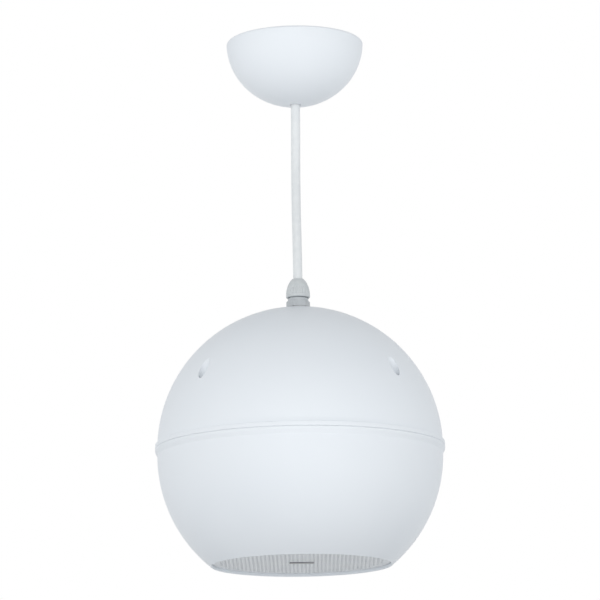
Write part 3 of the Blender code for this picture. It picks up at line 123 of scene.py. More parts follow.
direction = sky_node("ShaderNodeTexCoord").outputs["Generated"]
height = sky_node("ShaderNodeSeparateXYZ", direction).outputs[2]
steep = sky_node("ShaderNodeClamp", height).outputs[0]
walls = sky_node("ShaderNodeBackground", (0.97, 0.985, 0.995, 1.0), 1.18).outputs[0]
ceiling = sky_node("ShaderNodeBackground", (0.93, 0.97, 1.0, 1.0), 0.20).outputs[0]
room = sky_node("ShaderNodeMixShader", steep, walls, ceiling).outputs[0]
rays = sky_node("ShaderNodeLightPath").outputs
seen = sky_node("ShaderNodeMath", rays["Is Camera Ray"], rays["Is Transmission Ray"],
                operation="ADD", use_clamp=True).outputs[0]
seen = sky_node("ShaderNodeMath", seen, rays["Is Glossy Ray"],
                operation="ADD", use_clamp=True).outputs[0]
ground = sky_node("ShaderNodeBackground", (1.0, 1.0, 1.0, 1.0), 1.0).outputs[0]
either = sky_node("ShaderNodeMixShader", seen, room, ground).outputs[0]
sky_node("ShaderNodeOutputWorld", either)


# Pendant cable: a round 7.8 mm cable with a white PVC jacket, gripped in the rose's clamp,
# let down through the rose cup and held again by the gland. It carries the ball, so it
# hangs straight but for a slight set from its coil. 152 mm of it show.
def shade(mesh, crease=32):
    """Smooth shading, with sharp edges where faces meet at more than crease degrees."""
    mesh.shade_smooth()
    mesh.set_sharp_from_angle(angle=radians(crease))


def make_piece(name, sketch, material, crease=32):
    """An object from a bmesh sketch, which is used up."""
    mesh = bpy.data.meshes.new(name)
    sketch.to_mesh(mesh)
    sketch.free()
    shade(mesh, crease)
    mesh.materials.append(material)
    piece = bpy.data.objects.new(name, mesh)
    bpy.context.scene.collection.objects.link(piece)
    return piece


def take_place(piece, body, slot, *nodes):
    """The piece rides on a body and stands for these nodes of the part."""
    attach(piece, body)
    if nodes:
        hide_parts(*nodes)


class Value:
    """A number or colour that changes over a surface, from one socket of a finish."""

    def __init__(self, finish, socket):
        self.finish, self.socket = finish, socket

    def work(self, operation, *others):
        return self.finish.node("ShaderNodeMath", {"operation": operation}, *others)

    def __add__(self, other):
        return self.work("ADD", self, other)

    def __mul__(self, other):
        return self.work("MULTIPLY", self, other)

    __radd__ = __add__
    __rmul__ = __mul__

    def sine(self):
        return self.work("SINE", self)

    def ramp(self, start, end):
        """0 before start, 1 after end, and a smooth step between them."""
        return self.finish.node("ShaderNodeMapRange", {"interpolation_type": "SMOOTHSTEP"},
                                self, start, end)


class Finish:
    """A surface: a Principled shader, and the nodes that vary it over the piece."""

    def __init__(self, name, colour, roughness, metallic=0.0, **constants):
        self.material = bpy.data.materials.new(name)
        self.material.use_nodes = True
        self.tree = self.material.node_tree
        self.shader = self.tree.nodes["Principled BSDF"]
        self.shader.inputs["Base Color"].default_value = (*colour, 1.0)
        self.shader.inputs["Roughness"].default_value = roughness
        self.shader.inputs["Metallic"].default_value = metallic
        for socket, number in constants.items():
            self.shader.inputs[socket.replace("_", " ")].default_value = number
        place = self.tree.nodes.new("ShaderNodeTexCoord")
        self.place = Value(self, place.outputs["Object"])
        split = self.node("ShaderNodeSeparateXYZ", {}, self.place).socket.node
        self.x, self.y, self.z = (Value(self, socket) for socket in split.outputs)

    def node(self, kind, settings, *values, **named):
        """A node with its settings, and the values or links of its sockets."""
        made = self.tree.nodes.new(kind)
        for setting, choice in settings.items():
            setattr(made, setting, choice)
        for socket, value in [*zip(made.inputs, values),
                              *((made.inputs[label], value) for label, value in named.items())]:
            if isinstance(value, Value):
                self.tree.links.new(value.socket, socket)
            else:
                socket.default_value = value
        return Value(self, made.outputs[0])

    def noise(self, scale, detail=3.0, stretch=None):
        """Noise over the piece, at a scale per metre; stretch draws it out along an axis."""
        where = self.place
        if stretch:
            where = self.node("ShaderNodeMapping", {}, Vector=self.place, Scale=stretch)
        return self.node("ShaderNodeTexNoise", {}, Vector=where, Scale=scale, Detail=detail)

    def tint(self, share, first, second):
        """The surface has the first colour where share is 0, the second where it is 1."""
        mix = self.node("ShaderNodeMix", {"data_type": "RGBA"}, share).socket.node
        mix.inputs[6].default_value = (*first, 1.0)
        mix.inputs[7].default_value = (*second, 1.0)
        self.feed("Base Color", Value(self, mix.outputs[2]))

    def feed(self, socket, value):
        self.tree.links.new(value.socket, self.shader.inputs[socket])

    def relief(self, height, depth, strength=1.0):
        """Fine unevenness by a bump, depth in metres."""
        bump = self.node("ShaderNodeBump", {}, Height=height, Distance=depth, Strength=strength)
        self.feed("Normal", bump)


cable_radius, cable_bow, cable_steps, cable_facets = 0.0039, 0.00055, 72, 40
cable_top, cable_end = (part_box("pendant_cable")[k][2] for k in (1, 0))
cable_length = cable_top - cable_end
rose_pole, nut_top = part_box("rose_cup")[0][2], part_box("gland_nut")[1][2]


def cable_line(z):
    """The cable's middle at a height: it bows to the left between rose and nut."""
    share = min(1.0, max(0.0, (rose_pole - z) / (rose_pole - nut_top)))
    return Vector((-cable_bow * sin(pi * share) ** 2, 0.0, z))


cable_path = [cable_line(cable_top - cable_length * k / cable_steps)
              for k in range(cable_steps + 1)]
sketch = bmesh.new()
rings = []
for k, centre in enumerate(cable_path):
    edge_in = 0.9 if k in (0, cable_steps) else 1.0
    rings.append([sketch.verts.new(centre + Vector((cos(a), sin(a), 0)) * cable_radius * edge_in)
                  for a in [tau * n / cable_facets for n in range(cable_facets)]])
for upper, lower in zip(rings, rings[1:]):
    for n in range(cable_facets):
        m = (n + 1) % cable_facets
        sketch.faces.new((upper[n], lower[n], lower[m], upper[m]))
sketch.faces.new(rings[0])
sketch.faces.new(list(reversed(rings[-1])))

pvc = Finish("cable_pvc", (0.73, 0.75, 0.765), 0.46, Specular_IOR_Level=0.35)
twist = (pvc.z * 105.0 + pvc.x * 260.0).sine()
mottle = pvc.noise(180.0)
pvc.tint(mottle.ramp(0.3, 0.75), (0.705, 0.73, 0.745), (0.75, 0.77, 0.78))
pvc.feed("Roughness", mottle * 0.12 + 0.40)
pvc.relief(twist * 0.5 + pvc.noise(1500.0), 0.00012)
cable = make_piece("pendant_cable_visual", sketch, pvc.material)
take_place(cable, "speaker", "cable_jacket", "pendant_cable")


# Rose cup: the dome that covers the ceiling bracket, one moulding in white ABS with a satin
# surface, and a collar inside its pole. It slides down the cable to open the rose.
def rounded(profile, radius, steps=4):
    """A closed (radius, height) profile whose corners of over 20 degrees get a small arc."""
    count = len(profile)
    points = []
    for k, corner in enumerate(profile):
        here = Vector(corner)
        a, b = Vector(profile[k - 1]) - here, Vector(profile[(k + 1) % count]) - here
        if a.length < 1e-7 or b.length < 1e-7 or a.angle(b) > radians(160):
            points.append(corner)
            continue
        reach = min(radius, 0.42 * a.length, 0.42 * b.length)
        start, stop = here + a.normalized() * reach, here + b.normalized() * reach
        for step in range(steps + 1):
            t = step / steps
            point = start * (1 - t) ** 2 + here * 2 * t * (1 - t) + stop * t**2
            points.append((point.x, point.y))
    return points


def turn(profile, facets, closed=True, shape=None, first=0.0):
    """A profile of (radius, height) points, down its outer side, turned about Z. shape may
    change a point's radius by its angle."""
    sketch = bmesh.new()
    rings = []
    for r, z in profile:
        if r < 1e-6:
            rings.append([sketch.verts.new((0, 0, z))] * facets)
            continue
        ring = []
        for n in range(facets):
            a = first + tau * n / facets
            reach = shape(r, z, a) if shape else r
            ring.append(sketch.verts.new((reach * cos(a), reach * sin(a), z)))
        rings.append(ring)
    pairs = list(zip(rings, rings[1:]))
    if closed:
        pairs.append((rings[-1], rings[0]))
    for upper, lower in pairs:
        for n in range(facets):
            m = (n + 1) % facets
            corners = []
            for vert in (upper[n], lower[n], lower[m], upper[m]):
                if vert not in corners:
                    corners.append(vert)
            if len(corners) > 2:
                sketch.faces.new(corners)
    return sketch


def arc(radius, start, end, count, centre=0.0, height=None):
    """Points of a circle or ellipse about (0, centre), angles up from the horizontal."""
    height = height or radius
    angles = [start + (end - start) * k / count for k in range(count + 1)]
    return [(radius * cos(a), centre + height * sin(a)) for a in angles]


def satin_abs(name):
    plastic = Finish(name, (0.79, 0.825, 0.865), 0.42, Specular_IOR_Level=0.1)
    cloud = plastic.noise(9.0, 2.0)
    plastic.tint(cloud.ramp(0.3, 0.7), (0.782, 0.818, 0.860), (0.798, 0.832, 0.870))
    plastic.feed("Roughness", plastic.noise(260.0) * 0.10 + 0.37)
    plastic.relief(plastic.noise(2600.0, 2.0), 0.00003, 0.6)
    return plastic.material


rose_radius, rose_height, rose_wall = 0.0585, 0.0550, 0.0022
rose_bore, collar_bore, collar_out, collar_height = 0.0045, 0.0079, 0.0099, 0.0120
inner_r, inner_h = rose_radius - rose_wall, rose_height - rose_wall
rose_edge = 0.0012
profile = [(inner_r, 0.0), (rose_radius - rose_edge, 0.0)]
profile += arc(rose_radius, -asin(rose_edge / rose_height), -acos(rose_bore / rose_radius), 44,
               0.0, rose_height)
profile += [(rose_bore, -inner_h), (collar_bore, -inner_h), (collar_bore, collar_height - inner_h),
            (collar_out, collar_height - inner_h),
            (collar_out, -inner_h * sqrt(1 - (collar_out / inner_r) ** 2))]
profile += arc(inner_r, -acos(collar_out / inner_r), 0.0, 32, 0.0, inner_h)[1:-1]
rose_cup = make_piece("rose_cup_visual", turn(rounded(profile, 0.0007), 160), satin_abs("rose_abs"))
take_place(rose_cup, "rose_cover", "white_plastic", "rose_cup")

# Friction grommet: soft grey rubber pressed into the collar; it grips the cable, so the
# cup stays where it is pushed. Three ribs run round its outside.
rubber = Finish("grommet_rubber", (0.36, 0.365, 0.37), 0.72, Specular_IOR_Level=0.3)
rubber.feed("Roughness", rubber.noise(700.0) * 0.2 + 0.6)
rubber.relief(rubber.noise(1800.0), 0.00006)
low, high = (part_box("rose_grommet")[k][2] for k in (0, 1))
grommet_bore, between_ribs, rib_out, rib_pitch = 0.0043, 0.00705, 0.00758, 0.0036
profile = [(grommet_bore, high), (0.0066, high)]
for k in range(3):
    z = high - 0.0014 - k * rib_pitch
    profile += [(between_ribs, z), (rib_out, z - 0.0008), (rib_out, z - 0.0018),
                (between_ribs, z - 0.0026)]
profile += [(0.0073, low), (grommet_bore, low)]
grommet = make_piece("rose_grommet_visual", turn(rounded(profile, 0.0004), 64), rubber.material)
take_place(grommet, "rose_cover", "grey_rubber", "rose_grommet")


# Ceiling bracket: zinc-plated strip, punched and folded, its saddle spot-welded on. The
# plating is a thin bluish grey with fine rolling marks along the strip.
def zinc_plate(name, grain=(0.15, 1.0, 1.0)):
    zinc = Finish(name, (0.62, 0.63, 0.64), 0.34, 1.0)
    blotch = zinc.noise(120.0, 4.0)
    zinc.tint(blotch.ramp(0.35, 0.7), (0.56, 0.575, 0.60), (0.70, 0.70, 0.68))
    zinc.feed("Roughness", zinc.noise(900.0, 3.0, grain) * 0.25 + 0.24)
    zinc.relief(zinc.noise(1400.0, 2.0, grain), 0.00002)
    return zinc.material


def refinish(material, *names):
    """Give nodes of the part that keep their shape a finish of their own."""
    for name in names:
        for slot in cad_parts[name].material_slots:
            slot.material = material


refinish(zinc_plate("bracket_zinc"), "ceiling_bracket")


# Cord clamp and terminal block: natural nylon mouldings, slightly cloudy, with a faint
# waxy shine.
def nylon(name, colour):
    moulded = Finish(name, colour, 0.44, Specular_IOR_Level=0.4)
    cloud = moulded.noise(420.0)
    dark, pale = ([c * share for c in colour] for share in (0.95, 1.05))
    moulded.tint(cloud.ramp(0.3, 0.7), dark, pale)
    moulded.feed("Roughness", cloud * 0.15 + 0.36)
    moulded.relief(moulded.noise(1700.0, 2.0), 0.00003)
    return moulded.material


refinish(nylon("natural_nylon", (0.72, 0.70, 0.63)), "cord_clamp_body", "cord_clamp_plate",
         "terminal_block")


# Cores of the cable and leads of the driver: coloured PVC insulation, faintly glossy.
# Each follows its route from one terminal to the next.
def insulation(name, colour):
    skin = Finish(name, colour, 0.38)
    skin.feed("Roughness", skin.noise(800.0) * 0.2 + 0.28)
    skin.relief(skin.noise(1200.0), 0.00003)
    return skin.material


refinish(insulation("brown_insulation", (0.13, 0.05, 0.025)), "rose_core_a", "ball_core_a",
         "speaker_lead_a")
refinish(insulation("blue_insulation", (0.03, 0.10, 0.34)), "rose_core_b", "ball_core_b",
         "speaker_lead_b")


# Screws: zinc-plated pan heads with a cross recess, and brass grub screws with a slot in
# the terminals. One Geometry Nodes tree turns head, recess, shank and thread to size and
# sets one at each point it is given.
class Recipe:
    """A Geometry Nodes tree with named inputs, run once on a mesh of points. A node's
    sockets are named with _ for a blank, or i and their index."""

    def __init__(self, name, **inputs):
        self.group = bpy.data.node_groups.new(name, "GeometryNodeTree")
        sockets = [("Geometry", "INPUT", "Geometry"), ("Geometry", "OUTPUT", "Geometry")]
        sockets += [(label.replace("_", " "), "INPUT", kind) for label, kind in inputs.items()]
        for label, side, kind in sockets:
            self.group.interface.new_socket(label, in_out=side, socket_type="NodeSocket" + kind)
        self.given = self.group.nodes.new("NodeGroupInput").outputs
        self.result = self.group.nodes.new("NodeGroupOutput").inputs

    def node(self, kind, settings=None, out=0, **values):
        made = self.group.nodes.new(kind)
        for setting, choice in (settings or {}).items():
            setattr(made, setting, choice)
        for label, value in values.items():
            indexed = label[0] == "i" and label[1:].isdigit()
            socket = made.inputs[int(label[1:]) if indexed else label.replace("_", " ")]
            for each in value if isinstance(value, list) else [value]:
                if isinstance(each, bpy.types.NodeSocket):
                    self.group.links.new(each, socket)
                else:
                    socket.default_value = each
        return made.outputs[out]

    def maths(self, operation, first, second=0.0):
        return self.node("ShaderNodeMath", {"operation": operation}, i0=first, i1=second)

    def vector(self, x=0.0, y=0.0, z=0.0):
        return self.node("ShaderNodeCombineXYZ", i0=x, i1=y, i2=z)

    def finish(self, geometry):
        real = self.node("GeometryNodeRealizeInstances", Geometry=geometry)
        coated = self.node("GeometryNodeSetMaterial", Geometry=real, Material=self.given["Finish"])
        self.group.links.new(coated, self.result[0])

    def make(self, name, points, finish, **values):
        """A plain mesh object from this recipe, run on these points."""
        mesh = bpy.data.meshes.new(name + "_points")
        mesh.from_pydata([tuple(p) for p in points], [], [])
        source = bpy.data.objects.new(name + "_points", mesh)
        bpy.context.scene.collection.objects.link(source)
        step = source.modifiers.new("Make", "NODES")
        step.node_group = self.group
        keys = {item.name: item.identifier for item in self.group.interface.items_tree
                if item.in_out == "INPUT"}
        for label, value in dict(values, Finish=finish).items():
            step[keys[label.replace("_", " ")]] = value
        bpy.context.view_layer.update()
        graph = bpy.context.evaluated_depsgraph_get()
        made = bpy.data.meshes.new_from_object(source.evaluated_get(graph))
        bpy.data.objects.remove(source)
        made.name = name
        shade(made)
        piece = bpy.data.objects.new(name, made)
        bpy.context.scene.collection.objects.link(piece)
        return piece


screw = Recipe("turned_screw", Head_Radius="Float", Head_Height="Float", Shank_Radius="Float",
               Shank_Length="Float", Slot_Width="Float", Cross="Bool", Turn="Vector",
               Finish="Material")
given = screw.given
head_r, head_h = given["Head Radius"], given["Head Height"]
# The head is a low barrel, rounded where a flattened sphere cuts it off.
barrel = screw.node("GeometryNodeMeshCylinder", Vertices=40, Radius=head_r, Depth=head_h)
barrel = screw.node("GeometryNodeTransform", Geometry=barrel,
                    Translation=screw.vector(z=screw.maths("MULTIPLY", head_h, 0.5)))
crown = screw.node("GeometryNodeMeshUVSphere", Segments=48, Rings=24, Radius=1.0)
wide = screw.maths("MULTIPLY", head_r, 1.22)
crown = screw.node("GeometryNodeTransform", Geometry=crown,
                   Scale=screw.vector(wide, wide, screw.maths("MULTIPLY", head_h, 1.12)))
head = screw.node("GeometryNodeMeshBoolean", {"operation": "INTERSECT"}, i1=[barrel, crown])
# Its recess is one long slot or two crossed ones.
blade_size = screw.vector(screw.maths("MULTIPLY", head_r, 1.15), given["Slot Width"],
                          screw.maths("MULTIPLY", head_h, 1.3))
blade = screw.node("GeometryNodeMeshCube", Size=blade_size)
blade = screw.node("GeometryNodeTransform", Geometry=blade,
                   Translation=screw.vector(z=screw.maths("MULTIPLY", head_h, 1.05)))
second = screw.node("GeometryNodeTransform", Geometry=blade, Rotation=(0, 0, pi / 2))
long_blade = screw.node("GeometryNodeTransform", Geometry=blade, Scale=(2.2, 1.0, 1.0))
cross = screw.node("GeometryNodeMeshBoolean", {"operation": "UNION"}, i1=[blade, second])
recess = screw.node("GeometryNodeSwitch", {"input_type": "GEOMETRY"}, i0=given["Cross"],
                    i1=long_blade, i2=cross)
head = screw.node("GeometryNodeMeshBoolean", {"operation": "DIFFERENCE"}, i0=head, i1=[recess])
# Under it are the shank and a thread wound on it.
thread_step = 0.0011
length, core = given["Shank Length"], screw.maths("MULTIPLY", given["Shank Radius"], 0.84)
shank = screw.node("GeometryNodeMeshCylinder", Vertices=24, Radius=core, Depth=length)
shank = screw.node("GeometryNodeTransform", Geometry=shank,
                   Translation=screw.vector(z=screw.maths("MULTIPLY", length, -0.5)))
turns = screw.maths("DIVIDE", length, thread_step)
helix = screw.node("GeometryNodeCurveSpiral", Resolution=20, Rotations=turns,
                   Start_Radius=core, End_Radius=core,
                   Height=screw.maths("MULTIPLY", length, 0.96))
helix = screw.node("GeometryNodeTransform", Geometry=helix,
                   Translation=screw.vector(z=screw.maths("MULTIPLY", length, -0.99)))
ridge = screw.node("GeometryNodeCurvePrimitiveCircle", Resolution=4,
                   Radius=screw.maths("MULTIPLY", given["Shank Radius"], 0.15))
thread = screw.node("GeometryNodeCurveToMesh", Curve=helix, Profile_Curve=ridge, Fill_Caps=True)
whole = screw.node("GeometryNodeJoinGeometry", Geometry=[head, shank, thread])
turned = screw.node("FunctionNodeEulerToRotation", Euler=given["Turn"])
placed = screw.node("GeometryNodeInstanceOnPoints", Points=given["Geometry"], Instance=whole,
                    Rotation=turned)
screw.finish(placed)


def set_screws(name, body, slot, finish, nodes, axis, head_r, head_h, shank_r, slot_width,
               cross=True, turn=(0.0, 0.0, 0.0)):
    """Screws in the place of nodes: axis is where their heads look, as (index, sign). The
    lengths are the head's radius and height, the shank's radius and the recess's width."""
    index, sign = axis
    points = []
    for node in nodes:
        low, high = (Vector(corner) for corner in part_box(node))
        seat = (low + high) / 2
        seat[index] = (high[index] - head_h) if sign > 0 else (low[index] + head_h)
        points.append(seat)
    length = high[index] - low[index] - head_h
    made = screw.make(name, points, finish, Head_Radius=head_r, Head_Height=head_h,
                      Shank_Radius=shank_r, Shank_Length=length, Slot_Width=slot_width,
                      Cross=cross, Turn=turn)
    take_place(made, body, slot, *nodes)


screw_zinc = zinc_plate("screw_zinc", (1.0, 1.0, 1.0))
set_screws("shell_screws", "speaker", "zinc_steel", screw_zinc,
           [f"shell_screw_{k}" for k in (1, 2, 3, 4)], (2, 1), 0.0030, 0.0023, 0.0015, 0.0008)
set_screws("cord_clamp_screws", "speaker", "zinc_steel", screw_zinc,
           ["cord_clamp_screw_1", "cord_clamp_screw_2"], (0, 1), 0.0023, 0.0016, 0.0014, 0.0006,
           turn=(0.0, pi / 2, 0.0))
set_screws("terminal_fixing_screw_visual", "speaker", "zinc_steel", screw_zinc,
           ["terminal_fixing_screw"], (2, -1), 0.0026, 0.0018, 0.0014, 0.0007, turn=(pi, 0.0, 0.0))
set_screws("driver_screws", "speaker", "zinc_steel", screw_zinc,
           [f"driver_screw_{k}" for k in (1, 2, 3, 4)], (2, 1), 0.0028, 0.0018, 0.0014, 0.0008)
set_screws("transformer_screws", "speaker", "zinc_steel", screw_zinc,
           ["transformer_screw_1", "transformer_screw_2"], (2, -1), 0.0030, 0.0020, 0.0015, 0.0008,
           turn=(pi, 0.0, 0.0))

turned_brass = Finish("terminal_brass", (0.72, 0.54, 0.24), 0.32, 1.0)
turned_brass.tint(turned_brass.noise(500.0).ramp(0.35, 0.7), (0.66, 0.47, 0.19),
                  (0.80, 0.62, 0.30))
turned_brass.feed("Roughness", turned_brass.noise(1500.0) * 0.2 + 0.22)
set_screws("terminal_screws", "speaker", "brass", turned_brass.material,
           [f"terminal_screw_{k}" for k in (1, 2, 3, 4)], (2, -1), 0.0019, 0.0016, 0.00185, 0.0007,
           cross=False, turn=(pi, 0.0, 0.0))

# Rivets: zinc-plated steel with low domed heads. They go through the legs of the saddle
# into the cord clamp, and hold the clamp between the legs.
rivet_zinc = zinc_plate("rivet_zinc", (1.0, 1.0, 1.0))
head_h, head_r, shank_r, shank_edge = 0.0012, 0.0023, 0.0016, 0.0002
for name, side in (("clamp_rivet_1", -1), ("clamp_rivet_2", 1)):
    low, high = (Vector(corner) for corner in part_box(name))
    length = high.y - low.y
    dome = [(head_r * sin(a), length - head_h + head_h * cos(a))
            for a in [pi / 2 * k / 8 for k in range(9)]]
    profile = dome + [(shank_r, length - head_h), (shank_r, shank_edge),
                      (shank_r - shank_edge, 0.0), (0.0, 0.0)]
    sketch = turn(profile, 32, closed=False)
    lay = Matrix.Rotation(-side * pi / 2, 4, "X")
    foot = Vector(((low.x + high.x) / 2, high.y if side < 0 else low.y, (low.z + high.z) / 2))
    bmesh.ops.transform(sketch, matrix=Matrix.Translation(foot) @ lay, verts=sketch.verts)
    take_place(make_piece(name + "_visual", sketch, rivet_zinc), "speaker", "zinc_steel", name)


# Gland nut: the bell-shaped nut that squeezes the seal onto the cable, moulded in light
# grey nylon. Twenty ribs for the fingers stand round its middle, over a smooth collar.
def grey_nylon(name, dark, pale):
    moulded = Finish(name, pale, 0.46, Specular_IOR_Level=0.35)
    cloud = moulded.noise(300.0)
    moulded.tint(cloud.ramp(0.3, 0.7), dark, pale)
    moulded.feed("Roughness", cloud * 0.16 + 0.38)
    moulded.relief(moulded.noise(2200.0, 2.0), 0.00003, 0.7)
    return moulded.material


nut_grey = grey_nylon("nut_nylon", (0.535, 0.565, 0.58), (0.58, 0.605, 0.615))
nut_r, nut_mouth, nut_bore, nut_ribs = 0.01015, 0.0049, 0.0042, 20
nut_low, nut_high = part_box("gland_nut")[0][2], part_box("gland_nut")[1][2]
nut_skirt, ribs_low, ribs_high = nut_low + 0.0018, nut_low + 0.0024, nut_low + 0.0092
rib_depth, rib_foot, rib_head, smooth_r = 0.00060, 0.0005, 0.0010, 0.0079
clear = 0.0003
thread_r, seal_z = 0.0077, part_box("gland_seal")[1][2] + clear
crown = acos(nut_mouth / nut_r)
profile = [(nut_bore, nut_high)]
profile += arc(nut_r, crown, 0.0, 40, nut_skirt, (nut_high - nut_skirt) / sin(crown))
profile += [(nut_r, nut_low + 0.0009), (nut_r - 0.0002, nut_low + 0.0003),
            (nut_r - 0.0006, nut_low), (thread_r, nut_low), (thread_r, seal_z),
            (nut_bore, seal_z)]


def ribbed(r, z, a):
    """Grooves between the ribs, which run out above, below and inside smooth_r."""
    if r < smooth_r:
        return r
    low = min(1.0, max(0.0, (z - ribs_low) / rib_foot))
    high = min(1.0, max(0.0, (ribs_high - z) / rib_head))
    groove = max(0.0, 0.25 - cos(nut_ribs * a)) / 1.25
    return r - rib_depth * groove**0.7 * low * high


nut = make_piece("gland_nut_visual", turn(rounded(profile, 0.0005, 3), 240, shape=ribbed),
                 nut_grey, 40)
take_place(nut, "speaker", "grey_nylon", "gland_nut")

# Gland body: a hexagon flange with its corners chamfered, a round neck above it, and the
# thread that goes down through the ball's pad, all in grey nylon a little darker than the nut's.
flange_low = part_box("gland_washer")[1][2] + clear
flange_high = flange_low + 0.0054
body_low, body_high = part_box("gland_body")[0][2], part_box("gland_body")[1][2]
gland_grey = grey_nylon("gland_nylon", (0.445, 0.47, 0.49), (0.48, 0.505, 0.525))
half_flat, corner_r, chamfer_r, flange_turn = 0.00875, 0.0110, 0.0093, radians(8)
neck_r, outer_thread, thread_deep, thread_pitch = 0.0087, 0.0074, 0.0004, 0.0014
profile = [(nut_bore, body_high), (outer_thread, body_high), (outer_thread, nut_low - clear),
           (neck_r - 0.0007, nut_low - clear), (neck_r, nut_low - 0.0010),
           (neck_r, flange_high + 0.0002), (neck_r + 0.0001, flange_high)]
profile += [(corner_r, flange_high - 0.0004 - 0.0006 * k) for k in range(4)]
profile += [(corner_r, flange_low), (outer_thread, flange_low)]
z = flange_low - 0.0006
while z > body_low + 0.0012:
    profile += [(outer_thread, z), (outer_thread - thread_deep, z - thread_pitch / 4),
                (outer_thread, z - thread_pitch / 2)]
    z -= thread_pitch
profile += [(outer_thread, body_low + 0.0004), (outer_thread - thread_deep, body_low),
            (nut_bore, body_low)]


def chamfered_hexagon(r, z, a):
    """The flange's points are drawn in to a hexagon; the neck and the thread stay round."""
    if r < chamfer_r - clear:
        return r
    part = (a - flange_turn) % (pi / 3) - pi / 6
    chamfer = chamfer_r + 0.9 * (flange_high - z)
    return min(r, half_flat / cos(part), max(half_flat, chamfer))


body = make_piece("gland_body_visual",
                  turn(profile, 240, shape=chamfered_hexagon, first=flange_turn), gland_grey, 25)
take_place(body, "speaker", "grey_nylon", "gland_body")


# Gland washer and seal. The washer is pale grey rubber, pressed between the flange and the
# ball's pad, and bulges a little at its rim; the seal round the cable is black.
def soft_rubber(name, colour):
    skin = Finish(name, colour, 0.7, Specular_IOR_Level=0.35)
    skin.feed("Roughness", skin.noise(600.0) * 0.25 + 0.55)
    skin.relief(skin.noise(1600.0), 0.00005)
    return skin.material


low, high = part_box("gland_washer")[0][2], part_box("gland_washer")[1][2]
middle, washer_r, bulge = (low + high) / 2, 0.0098, 0.0005
profile = [(thread_r, high), (washer_r, high), (washer_r + 0.8 * bulge, (high + middle) / 2),
           (washer_r + bulge, middle), (washer_r + 0.8 * bulge, (middle + low) / 2),
           (washer_r, low), (thread_r, low)]
washer = make_piece("gland_washer_visual", turn(profile, 96),
                    soft_rubber("washer_rubber", (0.50, 0.51, 0.52)))
take_place(washer, "speaker", "grey_rubber", "gland_washer")
refinish(soft_rubber("black_rubber", (0.035, 0.035, 0.036)), "gland_seal")
refinish(gland_grey, "gland_locknut")

# Upper shell: the upper half of the ball, injection-moulded white ABS, 3 mm thick, with a
# flat pad under the gland, a bead along the seam, and four deep wells for the screws that
# close the ball. Inside stand the wells' tubes and two studs for the transformer.
ball_r, wall, bead, bead_half = 0.1200, 0.0030, 0.0018, 0.0040
shell_in, wall_middle = ball_r - wall, ball_r - wall / 2
well_circle, well_r, well_out, well_floor = shell_in - 0.0120, 0.00475, 0.00675, 0.0080
well_angles = [radians(a) for a in (42, 138, 222, -42)]
parting_gap, pad_thick, gland_hole = 0.00005, 0.0040, 0.0077
tongue, tongue_deep = 0.0014, 0.0030
pilot_r, stud_r, stud_hole = 0.0018, 0.0045, 0.0095
pad_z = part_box("upper_shell")[1][2] - seam
stud_spread, stud_end = 0.0300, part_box("transformer_frame")[1][2] - seam + clear


def columns(places, low, high, radius, sides):
    """Upright cylinders at (x, y) places, heights over the seam."""
    sketch = bmesh.new()
    for x, y in places:
        bmesh.ops.create_cone(sketch, cap_ends=True, segments=sides, radius1=radius, radius2=radius,
                              depth=high - low,
                              matrix=Matrix.Translation((x, y, seam + (low + high) / 2)))
    return sketch


def carve(piece, sketch, operation):
    """Boolean of a piece with a sketch, which is used up."""
    mesh = bpy.data.meshes.new("tool")
    sketch.to_mesh(mesh)
    sketch.free()
    tool = bpy.data.objects.new("tool", mesh)
    bpy.context.scene.collection.objects.link(tool)
    step = piece.modifiers.new("Carve", "BOOLEAN")
    step.operation, step.solver, step.object = operation, "EXACT", tool
    bpy.context.view_layer.update()
    graph = bpy.context.evaluated_depsgraph_get()
    cut = bpy.data.meshes.new_from_object(piece.evaluated_get(graph))
    piece.modifiers.clear()
    piece.data = cut
    bpy.data.objects.remove(tool)


def inside(sketch, space):
    """What of a sketch lies in a space, as a new sketch."""
    rods = make_piece("rods", sketch, shell_abs)
    carve(rods, space.copy(), "INTERSECT")
    kept = bmesh.new()
    kept.from_mesh(rods.data)
    bpy.data.objects.remove(rods)
    return kept


def raised(profile):
    """A profile with heights over the seam, brought to its place."""
    return [(r, seam + z) for r, z in profile]


def true_sphere(piece, radius, centre):
    """Shade the faces that lie on a sphere as that sphere, whatever was cut from them."""
    mesh = piece.data
    shade(mesh, 30)
    normals = [Vector(n.vector) for n in mesh.corner_normals]
    middle = Vector((0, 0, centre))
    for face in mesh.polygons:
        if all(abs((mesh.vertices[v].co - middle).length - radius) < 2e-5 for v in face.vertices):
            for loop in face.loop_indices:
                place = mesh.vertices[mesh.loops[loop].vertex_index].co
                normals[loop] = (place - middle).normalized()
    mesh.normals_split_custom_set([tuple(n) for n in normals])


well_places = [(well_circle * cos(a), well_circle * sin(a)) for a in well_angles]
studs = [(stud_spread, 0.0), (-stud_spread, 0.0)]
bead_r = ball_r + bead
profile = [(gland_hole, pad_z)]
profile += arc(ball_r, asin(pad_z / ball_r), asin(bead_half / ball_r), 60)
parting = [(bead_r, parting_gap + 0.00035), (bead_r - 0.00035, parting_gap)]
profile += [(ball_r + 0.0003, bead_half), (bead_r - 0.0003, bead_half - 0.0001),
            (bead_r - 0.00005, bead_half - 0.0003), (bead_r, bead_half - 0.0006), *parting]
profile += [(shell_in + tongue, parting_gap), (shell_in + tongue, -tongue_deep),
            (shell_in, -tongue_deep)]
locknut_flats, boss_slope = 0.0200, 0.0020
boss = locknut_flats / sqrt(3) + 0.0025
profile += arc(shell_in, 0.0, acos((boss + boss_slope) / shell_in), 40)
profile += [(boss, pad_z - pad_thick), (gland_hole, pad_z - pad_thick)]
shell_abs = satin_abs("shell_abs")
upper = make_piece("upper_shell_visual", turn(raised(profile), 192), shell_abs)
